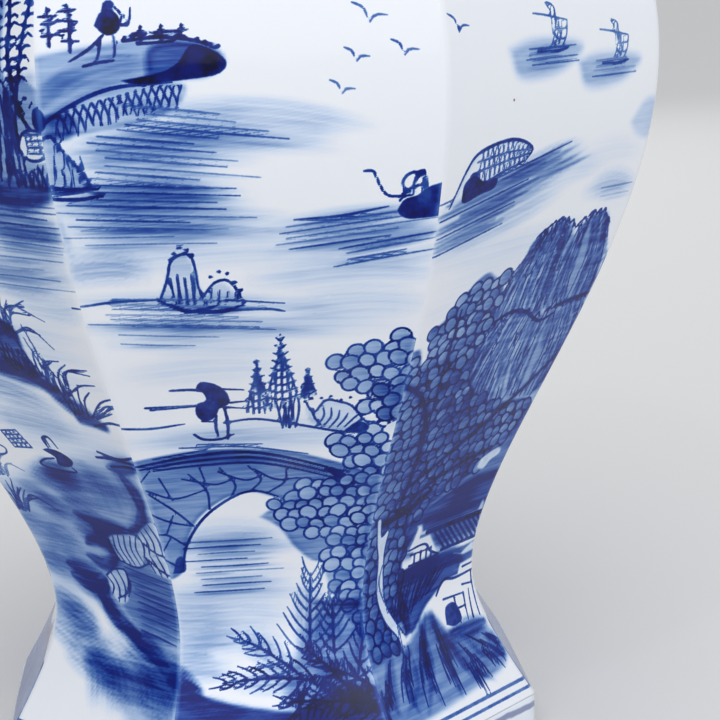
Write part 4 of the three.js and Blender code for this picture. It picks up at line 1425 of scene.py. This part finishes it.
def paint_left(c):
    sail_boat(c, -18, 168, 7.4, 0.48)
    bird(c, -2, 183, 2.4)
    bird(c, 6, 179, 2)
    for x, z, h in ((26, 158, 30), (32, 156, 36), (20, 157, 22)):
        c.line([(x, z), (x + 0.6, z + h)], 1.6, 0.88, (1, 0.5))
        for level in np.arange(z + 6, z + h, 1.5):
            c.line([(x - 3.6, level - 1), (x, level), (x + 3.6, level - 1)], 0.65, 0.8)
    rock(c, [(10, 148), (14, 156), (24, 160), (36, 158), (39, 148)], 0.3, 16)
    bank(c, [(6, 149), (22, 148), (39, 149.6)], 2.6, 0.88)
    water(c, -30, 38, 146, 132, 18, 0, 0.58, 0.6, 0.4, 0.2)
    island(c, -18, 122, 8.6)
    water(c, -36, 8, 121, 112, 9, 0, 0.55, 0.6, 0.4, 0.16)
    grass(c, 14, 104, 14, 15, 0.74)
    c.fill([(2, 106), (14, 108), (32, 104), (30, 96), (12, 97)], 0.5, 1.8, 0.12)
    bank(c, [(0, 104), (14, 106), (32, 103)], 2.6, 0.84)
    lattice(c, [(-22, 96), (-12, 98), (-9, 93), (-19, 91)], 5, 4, 0.7)
    water(c, -28, 26, 90, 78, 12, 0, 0.5, 0.6, 0.4, 0.15)
    house(c, (-22, 62), (2, 69), (-16, 2, 1, 51), (-15, -11, -7, -3, 1), 0.8)
    c.line([(-22, 50.6), (6, 50.4)], 1.1, 0.85, (1, 1))
    leaf_cells(c, [(6, 70), (14, 74), (23, 72), (22, 58), (22, 48), (14, 50), (8, 58)], 3.1, 0.5, 0.8)
    grass(c, -12, 30, 12, 13, 0.7)
    frond(c, (6, 28), (14, 44), 6, 2.4)
    shore(c, 27, 0.02)


def paint_border(c):
    """The bands that every wall shares: clouds and double lines under the neck, lines at the foot."""
    for z, width in ((230.6, 1.1), (228.6, 0.6)):
        c.line([(-44, z), (44, z)], width, 0.8, (1, 1), False)
    for x in np.arange(-36, 37, 9):
        c.line([(x - 4, 222.4), (x - 2.6, 226.4), (x, 227.4), (x + 2.6, 226.4), (x + 4, 222.4)], 0.8, 0.8)
        c.line([(x - 1.8, 223), (x, 225.6), (x + 1.8, 223)], 0.7, 0.75)
        c.fill([(x - 3.4, 222.6), (x - 2, 226), (x, 226.8), (x + 2, 226), (x + 3.4, 222.6), (x, 221.4)], 0.3,
                0.7)
        c.dab(x, 222.2, 0.5)
    for z, width in ((218.6, 0.6), (216.2, 1.1)):
        c.line([(-44, z), (44, z)], width, 0.8, (1, 1), False)
    for z, width in ((13.9, 0.8), (11.9, 0.7)):
        c.line([(-44, z), (44, z)], width, 0.62, (1, 1), False)
    cloud = c.draw.uniform(-14, 14)
    c.swash([(cloud - 14, 205), (cloud, 207.4), (cloud + 14, 205)], 4, 0.16)
    c.line([(cloud - 12, 204), (cloud - 4, 206.6), (cloud + 4, 205.4), (cloud + 13, 206.6)], 0.6, 0.55)
    c.line([(cloud - 6, 202.6), (cloud + 2, 203.8), (cloud + 9, 202.8)], 0.55, 0.5)


WALLS = (
    ("wall_front", paint_front, fine_wall),
    ("wall_front_right", paint_front_right, fine_wall),
    ("wall_right", paint_right, plain_wall),
    ("wall_back_right", paint_back_right, plain_wall),
    ("wall_back", paint_back, plain_wall),
    ("wall_back_left", paint_back_left, plain_wall),
    ("wall_left", paint_left, plain_wall),
    ("wall_front_left", paint_front_left, fine_wall),
)

# %% [markdown]
# The glaze is one clear glossy layer, so colour and gloss are kept apart. The colour comes from how much
# cobalt lies under the glaze, sent through a ramp from porcelain white to near black. The ink's edge is cut
# here, with a little noise, so it looks brushed. The glaze itself ripples faintly, and it runs thin on the
# arrises, where the colour fades. That fade is also a painted highlight: it stands in for the pale line of
# light along each arris.

# %% Finishes


def start_material(name):
    """A new material, with its node tree, its shader and the place on the object."""
    material = bpy.data.materials.new(name)
    material.use_nodes = True
    tree = material.node_tree
    place = tree.nodes.new("ShaderNodeTexCoord").outputs["Object"]
    return material, tree, tree.nodes["Principled BSDF"], place


def feed(tree, socket, value):
    """Sets a socket to a number or a colour, or links it to another node's output."""
    if isinstance(value, (tuple, int, float)):
        socket.default_value = value
    else:
        tree.links.new(value, socket)


def math_node(tree, operation, first, second):
    node = tree.nodes.new("ShaderNodeMath")
    node.operation = operation
    for socket, value in zip(node.inputs, (first, second)):
        feed(tree, socket, value)
    return node.outputs["Value"]


def times(tree, first, second):
    return math_node(tree, "MULTIPLY", first, second)


def remap(tree, value, low, high, to_low=0.0, to_high=1.0):
    node = tree.nodes.new("ShaderNodeMapRange")
    node.interpolation_type = "SMOOTHSTEP"
    for name, number in (("From Min", low), ("From Max", high), ("To Min", to_low), ("To Max", to_high)):
        node.inputs[name].default_value = number
    tree.links.new(value, node.inputs["Value"])
    return node.outputs["Result"]


def stored(tree, name):
    node = tree.nodes.new("ShaderNodeAttribute")
    node.attribute_name = name
    return node.outputs["Fac"]


def noise(tree, place, scale, detail=2.0, rough=0.5):
    node = tree.nodes.new("ShaderNodeTexNoise")
    node.inputs["Scale"].default_value = scale
    node.inputs["Detail"].default_value = detail
    node.inputs["Roughness"].default_value = rough
    tree.links.new(place, node.inputs["Vector"])
    return node.outputs["Fac"]


def cell_distance(tree, place, scale):
    """How far each place is from the nearest of many scattered points."""
    node = tree.nodes.new("ShaderNodeTexVoronoi")
    node.inputs["Scale"].default_value = scale
    tree.links.new(place, node.inputs["Vector"])
    return node.outputs["Distance"]


def stretched(tree, place, scale):
    node = tree.nodes.new("ShaderNodeMapping")
    node.inputs["Scale"].default_value = scale
    tree.links.new(place, node.inputs["Vector"])
    return node.outputs["Vector"]


def mix_colour(tree, amount, first, second):
    node = tree.nodes.new("ShaderNodeMix")
    node.data_type = "RGBA"
    for number, value in ((0, amount), (6, first), (7, second)):
        feed(tree, node.inputs[number], value)
    return node.outputs[2]


def ramp(tree, value, stops):
    node = tree.nodes.new("ShaderNodeValToRGB")
    bar = node.color_ramp
    while len(bar.elements) < len(stops):
        bar.elements.new(0.5)
    for element, (place, colour) in zip(bar.elements, stops):
        element.position = place
        element.color = (*[(channel / 255) ** 2.2 for channel in colour], 1)
    tree.links.new(value, node.inputs["Fac"])
    return node.outputs["Color"]


def ripple(tree, shader, place, height=0.05):
    """The faint unevenness of a fired glaze, on a scale of a few millimetres."""
    slow = noise(tree, place, 130, 1.0)
    quick = noise(tree, place, 620, 1.0)
    both = math_node(tree, "ADD", slow, times(tree, quick, 0.18))
    bump = tree.nodes.new("ShaderNodeBump")
    bump.inputs["Strength"].default_value = height
    bump.inputs["Distance"].default_value = 0.002
    tree.links.new(both, bump.inputs["Height"])
    tree.links.new(bump.outputs["Normal"], shader.inputs["Normal"])


def polish(shader, roughness=0.13, coat=0.05):
    shader.inputs["Roughness"].default_value = roughness
    shader.inputs["IOR"].default_value = 1.38
    shader.inputs["Specular IOR Level"].default_value = 0.27
    shader.inputs["Coat Weight"].default_value = coat
    shader.inputs["Coat Roughness"].default_value = 0.05


COBALT = (
    (0.0, (230, 233, 239)),
    (0.12, (202, 216, 236)),
    (0.3, (144, 171, 210)),
    (0.48, (86, 121, 180)),
    (0.66, (40, 75, 154)),
    (0.82, (12, 39, 124)),
    (0.93, (5, 22, 98)),
    (1.0, (2, 9, 46)),
)


def stroke_distance(tree):
    """The length of the stored step to the nearest stroke, or its plain reach where no stroke is close."""
    node = tree.nodes.new("ShaderNodeAttribute")
    node.attribute_name = "brush"
    flat = tree.nodes.new("ShaderNodeVectorMath")
    flat.operation = "MULTIPLY"
    flat.inputs[1].default_value = (1, 1, 0)
    tree.links.new(node.outputs["Vector"], flat.inputs[0])
    length = tree.nodes.new("ShaderNodeVectorMath")
    length.operation = "LENGTH"
    tree.links.new(flat.outputs["Vector"], length.inputs[0])
    parts = tree.nodes.new("ShaderNodeSeparateXYZ")
    tree.links.new(node.outputs["Vector"], parts.inputs["Vector"])
    plain = parts.outputs["Z"]
    trust = remap(tree, plain, 0.33, 0.45)
    extra = times(tree, trust, math_node(tree, "SUBTRACT", plain, length.outputs["Value"]))
    return math_node(tree, "ADD", length.outputs["Value"], extra)


def painted_glaze():
    material, tree, shader, place = start_material("cobalt_under_glaze")
    grain = noise(tree, place, 1500, 2.0, 0.6)
    pool = noise(tree, place, 260, 3.0, 0.6)
    drift = noise(tree, place, 45, 2.0)
    streak = noise(tree, stretched(tree, place, (60, 60, 900)), 1.0, 3.0, 0.65)
    # ink: how far the nearest stroke and the nearest solid shape are, roughened and cut off
    rough_edge = times(tree, math_node(tree, "SUBTRACT", grain, 0.5), 0.22)
    patchy = remap(tree, pool, 0.3, 0.7, 0.82, 1.06)
    stroke = math_node(tree, "SUBTRACT", stroke_distance(tree), stored(tree, "half"))
    stroke = remap(tree, math_node(tree, "ADD", stroke, rough_edge), 0.2, -0.12)
    stroke = times(tree, stroke, stored(tree, "tone"))
    solid = remap(tree, math_node(tree, "ADD", stored(tree, "solid"), rough_edge), 0.22, -0.2)
    solid = times(tree, solid, stored(tree, "solid_tone"))
    ink = times(tree, math_node(tree, "MAXIMUM", stroke, solid), patchy)
    # wash: streaked and pooled
    streaked = remap(tree, streak, 0.32, 0.68, 0.86, 1.12)
    pooled = remap(tree, drift, 0.3, 0.7, 0.86, 1.14)
    wash = times(tree, times(tree, stored(tree, "wash"), streaked), pooled)
    wash = math_node(tree, "MINIMUM", wash, 0.9)
    clear = times(tree, math_node(tree, "SUBTRACT", 1.0, ink), math_node(tree, "SUBTRACT", 1.0, wash))
    cobalt = math_node(tree, "SUBTRACT", 1.0, clear)
    # the cobalt fades towards each arris: partly thin glaze, partly a painted highlight along the arris
    thin = remap(tree, stored(tree, "arris"), 0.1, 1.3, 0.74, 1.0)
    colour = ramp(tree, times(tree, cobalt, thin), COBALT)
    # faint grey drift in the porcelain, and a few iron specks
    stain = remap(tree, noise(tree, place, 18, 3.0), 0.52, 0.75, 0.0, 0.1)
    colour = mix_colour(tree, stain, colour, (0.42, 0.46, 0.52, 1))
    speck = remap(tree, cell_distance(tree, place, 52), 0.024, 0.012)
    rare = remap(tree, noise(tree, place, 31, 0.0), 0.6, 0.62)
    colour = mix_colour(tree, times(tree, speck, rare), colour, (0.12, 0.07, 0.04, 1))
    tree.links.new(colour, shader.inputs["Base Color"])
    polish(shader)
    ripple(tree, shader, place)
    return material


def foot_glaze():
    """Glaze over the foot's sides, wiped away to pale fired clay where it stands."""
    material, tree, shader, place = start_material("foot_glaze_and_clay")
    height = tree.nodes.new("ShaderNodeSeparateXYZ")
    tree.links.new(place, height.inputs["Vector"])
    wander = times(tree, math_node(tree, "SUBTRACT", noise(tree, place, 90, 3.0), 0.5), 0.0022)
    level = math_node(tree, "ADD", height.outputs["Z"], wander)
    glazed = remap(tree, level, 0.0011, 0.0017)
    line = times(tree, remap(tree, level, 0.0066, 0.0072), remap(tree, level, 0.0088, 0.0082))
    clay = ramp(tree, noise(tree, place, 420, 4.0, 0.7), ((0.3, (198, 186, 168)), (0.7, (226, 217, 202))))
    orange = remap(tree, level, 0.0024, 0.0012)
    white = mix_colour(tree, times(tree, line, 0.75), (0.74, 0.79, 0.86, 1), (0.04, 0.08, 0.27, 1))
    white = mix_colour(tree, times(tree, orange, 0.6), white, (0.5, 0.3, 0.17, 1))
    tree.links.new(mix_colour(tree, glazed, clay, white), shader.inputs["Base Color"])
    tree.links.new(remap(tree, glazed, 0.0, 1.0, 0.85, 0.15), shader.inputs["Roughness"])
    tree.links.new(remap(tree, glazed, 0.0, 1.0, 0.0, 0.5), shader.inputs["Coat Weight"])
    shader.inputs["Coat Roughness"].default_value = 0.05
    ripple(tree, shader, place, 0.12)
    return material


def inner_glaze():
    """The plain inside: a thinner, slightly uneven glaze with pinholes."""
    material, tree, shader, place = start_material("plain_inner_glaze")
    cloud = noise(tree, place, 38, 4.0, 0.6)
    colour = ramp(tree, cloud, ((0.25, (206, 208, 203)), (0.75, (226, 227, 222))))
    pin = remap(tree, cell_distance(tree, place, 150), 0.05, 0.03)
    colour = mix_colour(tree, times(tree, pin, 0.5), colour, (0.33, 0.28, 0.22, 1))
    tree.links.new(colour, shader.inputs["Base Color"])
    polish(shader, 0.22, 0.3)
    ripple(tree, shader, place, 0.12)
    return material


PAINTED = painted_glaze()
FOOT = foot_glaze()
INNER = inner_glaze()

# %% [markdown]
# Each wall is a copy of a blank, painted and then turned to its own side. Only the three walls that are seen
# closest have the finest blank.

# %% The eight walls


def store_painting(mesh, canvas, seen, arris):
    """Writes a canvas to a mesh. seen marks the vertices that it covers, or those to keep of them."""
    count = len(seen)
    spots = np.flatnonzero(seen)
    source = slice(None) if len(canvas.x) == len(spots) else spots
    fields = (
        ("half", canvas.half, 0),
        ("tone", canvas.tone, 0),
        ("solid", canvas.solid_edge, FAR),
        ("solid_tone", canvas.solid_tone, 0),
        ("wash", canvas.wash, 0),
    )
    for label, values, plain in fields:
        full = np.full(count, float(plain))
        full[spots] = values[source]
        store(mesh, label, full)
    brush = np.tile((FAR, 0.0, FAR), (count, 1))
    reach = np.hypot(canvas.step_x, canvas.step_s)
    brush[spots] = np.stack([canvas.step_x, canvas.step_s, reach], 1)[source]
    attribute = mesh.attributes.new("brush", "FLOAT_VECTOR", "POINT")
    attribute.data.foreach_set("vector", brush.astype(np.float32).ravel())
    store(mesh, "arris", np.where(seen, arris, 5))


def arris_distance(rows):
    """How far each place is from the nearest arris, measured across the face, in mm."""
    _, across, apothem = face_coordinates(rows)
    return apothem * HALF_FACE - np.abs(across)


def add_materials(piece, *materials):
    piece.data.materials.clear()
    for material in materials:
        piece.data.materials.append(material)


def inside_faces_take_slot(piece, flags):
    """Faces whose corners are all inside take the piece's second material."""
    for face in piece.data.polygons:
        if all(flags[k] < 0.5 for k in face.vertices):
            face.material_index = 1


def build_wall(name, paint, blank, number):
    clear_selection()
    mesh = blank.data.copy()
    wall = bpy.data.objects.new("glazed_" + name, mesh)
    bpy.context.collection.objects.link(wall)
    rows = places(wall) / MM
    outside = read(mesh.attributes["outside"].data, "value")
    seen = outside > 0.5
    canvas = Canvas(rows[seen, 0], rows[seen, 2], 31 + number)
    paint(canvas)
    paint_border(canvas)
    store_painting(mesh, canvas, seen, arris_distance(rows))
    add_materials(wall, PAINTED, INNER)
    inside_faces_take_slot(wall, outside)
    mesh.transform(Matrix.Rotation(number * 2 * HALF_ANGLE, 4, "Z"))
    smooth(wall, 40)
    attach(wall, "jar")
    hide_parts(name)


for number, (name, paint, blank) in enumerate(WALLS):
    build_wall(name, paint, blank, number)
    print("painted", name)
for blank in (fine_wall, plain_wall):
    bpy.data.objects.remove(blank)

# %% [markdown]
# The other pieces are turned shapes. Their outline is drawn as a closed ring of points in a plane through the
# axis, and the spin operator sweeps it round: in eight steps it makes flat faces that line up with the walls,
# in many steps a round piece. A thrown piece could come from the Screw modifier too, but spin keeps the step
# count plain to see.

# %% Turned pieces


def sweep(name, outline, steps, columns=1, on_axis=False):
    """Spins an outline of (apothem, height) points round the axis."""
    clear_selection()
    count = len(outline)
    bpy.ops.mesh.primitive_circle_add(vertices=count, radius=0.01, fill_type="NOTHING", location=(0, 0, 0))
    piece = bpy.context.object
    piece.name = name
    stretch = TO_CORNER if steps == SIDES else 1
    points = np.array(outline, float)
    rows = np.zeros((count, 3))
    rows[:, 0] = points[:, 0] * stretch * math.sin(HALF_ANGLE)
    rows[:, 1] = -points[:, 0] * stretch * math.cos(HALF_ANGLE)
    rows[:, 2] = points[:, 1]
    put_places(piece, rows * MM)
    bpy.ops.object.mode_set(mode="EDIT")
    if on_axis:
        pick_edges(piece, lambda a, b: a.xy.length < 1e-7 and b.xy.length < 1e-7)
        bpy.ops.mesh.delete(type="EDGE")
    bpy.ops.mesh.select_all(action="SELECT")
    bpy.ops.mesh.spin(steps=steps, angle=2 * math.pi, center=(0, 0, 0), axis=(0, 0, 1))
    bpy.ops.mesh.select_all(action="SELECT")
    bpy.ops.mesh.remove_doubles(threshold=1e-6)
    if columns > 1:
        pick_edges(piece, lambda a, b: abs(a.z - b.z) < 1e-7 and abs(a.xy.length - b.xy.length) < 1e-7
                and (a.xy - b.xy).length > 1e-5)
        bpy.ops.mesh.subdivide(number_cuts=columns - 1)
    bpy.ops.mesh.select_all(action="SELECT")
    bpy.ops.mesh.normals_make_consistent(inside=False)
    bpy.ops.object.mode_set(mode="OBJECT")
    return piece


def refine(outline, step):
    """Adds points along an outline's straight runs so that none is longer than the step."""
    result = []
    for a, b in zip(outline, outline[1:] + outline[:1]):
        a = np.array(a, float)
        b = np.array(b, float)
        parts = max(1, int(math.ceil(np.hypot(*(b - a)) / step)))
        for k in range(parts):
            result.append(tuple(a + (b - a) * k / parts))
    return result


def corner(centre, radius, start, end, count=5):
    """A rounded corner of an outline: an arc about a centre, its angles in degrees."""
    turns = np.radians(np.linspace(start, end, count))
    return [(centre[0] + radius * math.cos(t), centre[1] + radius * math.sin(t)) for t in turns]


def finish_turned(piece, node, body, material, arris=ARRIS_RADIUS):
    rows = places(piece) / MM
    if arris:
        put_places(piece, soften_arrises(rows, arris) * MM)
    add_materials(piece, material)
    smooth(piece, 40)
    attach(piece, body)
    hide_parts(node)


foot_inside = FOOT_EDGE - FOOT_WIDTH
foot_outline = (
    corner((foot_inside + 1.4, 1.4), 1.4, 180, 270)
    + corner((FOOT_EDGE - 1.6, 1.6), 1.6, 270, 360)
    + corner((FOOT_EDGE - 0.5, foot_high.z - 0.5), 0.5, 0, 90)
    + [(foot_inside, foot_high.z)]
)
foot = sweep("glazed_foot_ring", foot_outline, SIDES, 24)
finish_turned(foot, "foot_ring", "jar", FOOT)

slab_edge = slab_high.y
slab_outline = [(0, slab_low.z), (slab_edge, slab_low.z), (slab_edge - 3.4, slab_high.z)]
slab_outline += [(slab_edge - 8, slab_high.z - 0.3), (24, slab_high.z - 0.5), (0, slab_high.z - 0.5)]
floor_slab = sweep("glazed_floor_slab", refine(slab_outline, 6), SIDES, 8, True)
finish_turned(floor_slab, "floor_slab", "jar", INNER)

locating_outside = locating_high.y
locating_inside = locating_outside - 4.5
ring_outline = (
    corner((locating_inside + 1, locating_low.z + 1), 1, 180, 270)
    + corner((locating_outside - 1.5, locating_low.z + 1.5), 1.5, 270, 360)
    + [(locating_outside, locating_high.z), (locating_inside, locating_high.z)]
)
locating = sweep("glazed_locating_ring", refine(ring_outline, 3), 96)
finish_turned(locating, "lid_locating_ring", "lid", INNER, 0)

# %% [markdown]
# The neck and the lid carry painting too, so their outlines are cut finely and their faces into columns. A
# face is painted once, and the same strokes fall on all eight, as they do on the real lid's panels.

# %% Neck, lid and knob


class PatternCanvas(Canvas):
    """A canvas whose second direction is already a distance along the piece's outline."""

    def __init__(self, across, along, seed):
        super().__init__(across, along, seed)
        self.s = along

    def route(self, points, bendy=True):
        rows = np.array(points, float)
        shifted = super().route([(x, z) for x, z in rows], bendy)
        shifted[:, 1] = np.interp(shifted[:, 1], outline_length, outline[:, 1])
        return shifted


def paint_turned(piece, seen, along, paint, seed):
    rows = places(piece) / MM
    _, across, apothem = face_coordinates(rows)
    canvas = PatternCanvas(across, along(apothem, rows[:, 2]), seed)
    paint(canvas)
    store_painting(piece.data, canvas, seen(apothem, rows[:, 2]), arris_distance(rows))


def paint_collar(c):
    """Upright leaves between two rings. Heights are measured from the shoulder."""
    for z, width in ((1.2, 0.8), (13.4, 1.2)):
        c.line([(-30, z), (30, z)], width, 0.82, (1, 1), False)
    for x in np.arange(-17, 18, 6.8):
        c.fill([(x - 2.4, 2), (x - 2.0, 6), (x, 9), (x + 2.0, 6), (x + 2.4, 2)], 0.4, 0.7)
        c.line([(x - 2.6, 2), (x - 2.2, 6), (x, 9.4), (x + 2.2, 6), (x + 2.6, 2)], 0.7, 0.85)
        c.line([(x, 2.4), (x, 6.4)], 0.6, 0.8)


def paint_dome(c):
    """A lid panel: edge bands, then rocks, an island, water and clouds. Zero is the brim's lower edge."""
    for z, width in ((1.0, 1.0), (4.4, 0.7)):
        c.line([(-34, z), (34, z)], width, 0.85, (1, 1), False)
    for x in np.arange(-21, 22, 6):
        c.line([(x - 2.4, 7.4), (x, 9.6), (x + 2.4, 7.4)], 0.7, 0.8)
        c.dab(x, 7.2, 0.5)
    c.line([(-34, 12.4), (34, 12.4)], 0.7, 0.8, (1, 1), False)
    c.fill([(-19, 15), (-14, 19), (-8, 21.5), (-3, 18), (2, 15)], 0.42, 1.2)
    c.line([(-19, 15), (-14, 19.4), (-8, 22), (-3, 18), (3, 15)], 0.9, 0.88)
    c.hatch([(-15, 18), (-8, 20.6), (-4, 18)], [(-15, 14.6), (-8, 15), (-2, 15)], 0.8, 14, 0.6, 0.75)
    c.line([(-10, 21), (-10.4, 27), (-9.6, 33)], 0.8, 0.85)
    for z in (24, 26.4, 28.8, 31.2):
        reach = 3.6 - (z - 24) * 0.28
        c.line([(-10 - reach, z - 0.6), (-10, z), (-10 + reach, z - 0.5)], 0.7, 0.82)
    for z in (16, 18, 20):
        c.line([(3, z), (9, z - 0.3), (16, z)], 0.6, 0.6)
    c.swash([(2, 18), (9, 17.6), (17, 18)], 4, 0.22)
    c.line([(5, 24), (8, 26.4), (11, 24.4)], 0.7, 0.7)
    c.line([(0, 34), (4, 36), (8, 34.6)], 0.6, 0.6)
    c.swash([(-3, 40), (2, 41), (6, 40)], 3, 0.18)
    for z, width in ((62.6, 0.7), (65.4, 1.2)):
        c.line([(-20, z), (20, z)], width, 0.85, (1, 1), False)


def paint_knob(c):
    """Long petals that climb the bud, with a solid tip. Zero is the knob's seat."""
    c.fill([(-9, 0.5), (9, 0.5), (9, 3.6), (-9, 3.6)], 0.55, 0.8, 0.1, False)
    c.fill([(-3.4, 7.6), (-4.6, 15), (-2.6, 22), (0, 25.4), (2.6, 22), (4.6, 15), (3.4, 7.6)], 0.42, 0.8,
            0.12)
    c.line([(-3.6, 7.6), (-4.8, 15), (-2.8, 22), (0, 25.6), (2.8, 22), (4.8, 15), (3.6, 7.6)], 0.9, 0.9)
    c.line([(0, 10), (0, 21)], 0.7, 0.8)
    c.fill([(-9, 27), (9, 27), (9, 60), (-9, 60)], 0.85, 1.4, 0.0, False)


collar_outside = NECK - 0.3
collar_inside = NECK - 6
lip = collar_high.y
collar_outline = (
    [(collar_inside, collar_low.z), (collar_outside, collar_low.z)]
    + corner((collar_outside + 2.4, collar_high.z - 6.6), 2.4, 180, 130)
    + corner((lip - 2.2, collar_high.z - 2.6), 2.2, 320, 360)
    + corner((lip - 1.4, collar_high.z - 1.4), 1.4, 10, 90)
    + corner((collar_inside + 1.4, collar_high.z - 1.4), 1.4, 90, 180)
)
collar = sweep("glazed_neck_collar", refine(collar_outline, 0.5), SIDES, 60)
paint_turned(collar, lambda a, z: (a > collar_inside + 3) & (z > SHOULDER_TOP - 2), lambda a,
        z: z - SHOULDER_TOP, paint_collar, 61)
finish_turned(collar, "neck_collar", "jar", PAINTED)

brim = dome_high.y
brim_low = dome_low.z
brim_top = brim_low + 4.5
crown_top = dome_high.z
dome_foot = brim - 7
crown = 12
mouth = locating_inside - 2.3
dome_outer = [tuple(p) for p in bend((dome_foot, brim_top), (dome_foot - 4, brim_top + 25),
        (crown + 14, crown_top), (crown, crown_top), 90)]
dome_inner = [tuple(p) for p in bend((dome_foot - 5, brim_top), (dome_foot - 9, brim_top + 22),
        (crown + 14, crown_top - 5), (crown, crown_top - 5), 18)]
lid_outline = (
    [(0, crown_top - 5)]
    + dome_inner[::-1]
    + [(mouth, brim_low + 2)]
    + refine([(mouth, brim_low), (brim - 1.6, brim_low)], 3)[:-1]
    + corner((brim - 1.4, brim_low + 1.4), 1.4, 270, 360)
    + corner((brim - 1.8, brim_top - 1.8), 1.8, 0, 90)
    + [(dome_foot + k * 0.45, brim_top) for k in range(10, 2, -1)]
    + dome_outer
    + [(crown * k / 8, crown_top) for k in range(7, -1, -1)]
)
kept = [lid_outline[0]]
for point in lid_outline[1:]:
    if math.dist(point, kept[-1]) > 1e-3:
        kept.append(point)
dome = sweep("glazed_lid_dome", kept, SIDES, 56, True)


def on_dome(apothem, height):
    shell = np.interp(height, [p[1] for p in dome_outer], [p[0] for p in dome_outer])
    brim_side = (height < brim_top + 0.2) & (apothem > dome_foot - 1)
    return (height > brim_low + 0.2) & ((apothem > shell - 1.5) | brim_side)


paint_turned(dome, on_dome, lambda a, z: (z - brim_low) + (brim - a), paint_dome, 62)
finish_turned(dome, "lid_dome", "lid", PAINTED)

knob_base = 10.5
knob_stem = 6.8
knob_bulb = knob_high.y
knob_neck = knob_low.z + 5
bulb_level = knob_high.z - knob_bulb * 0.95
knob_outline = (
    [(0, knob_low.z)]
    + corner((knob_base - 1.2, knob_low.z + 1.2), 1.2, 270, 440)
    + [tuple(p) for p in bend((knob_stem, knob_neck), (knob_stem, knob_neck + 3),
(knob_bulb, bulb_level - 8),
                              (knob_bulb, bulb_level), 30)]
    + [tuple(p) for p in bend((knob_bulb, bulb_level), (knob_bulb, bulb_level + 8), (3, knob_high.z),
                              (0, knob_high.z), 34)][1:]
)
knob = sweep("glazed_lid_knob", knob_outline, 160, 1, True)
paint_turned(knob, lambda a, z: z > knob_low.z, lambda a, z: z - knob_low.z, paint_knob, 63)
store(knob.data, "arris", np.full(len(knob.data.vertices), 5))
finish_turned(knob, "lid_knob", "lid", PAINTED, 0)
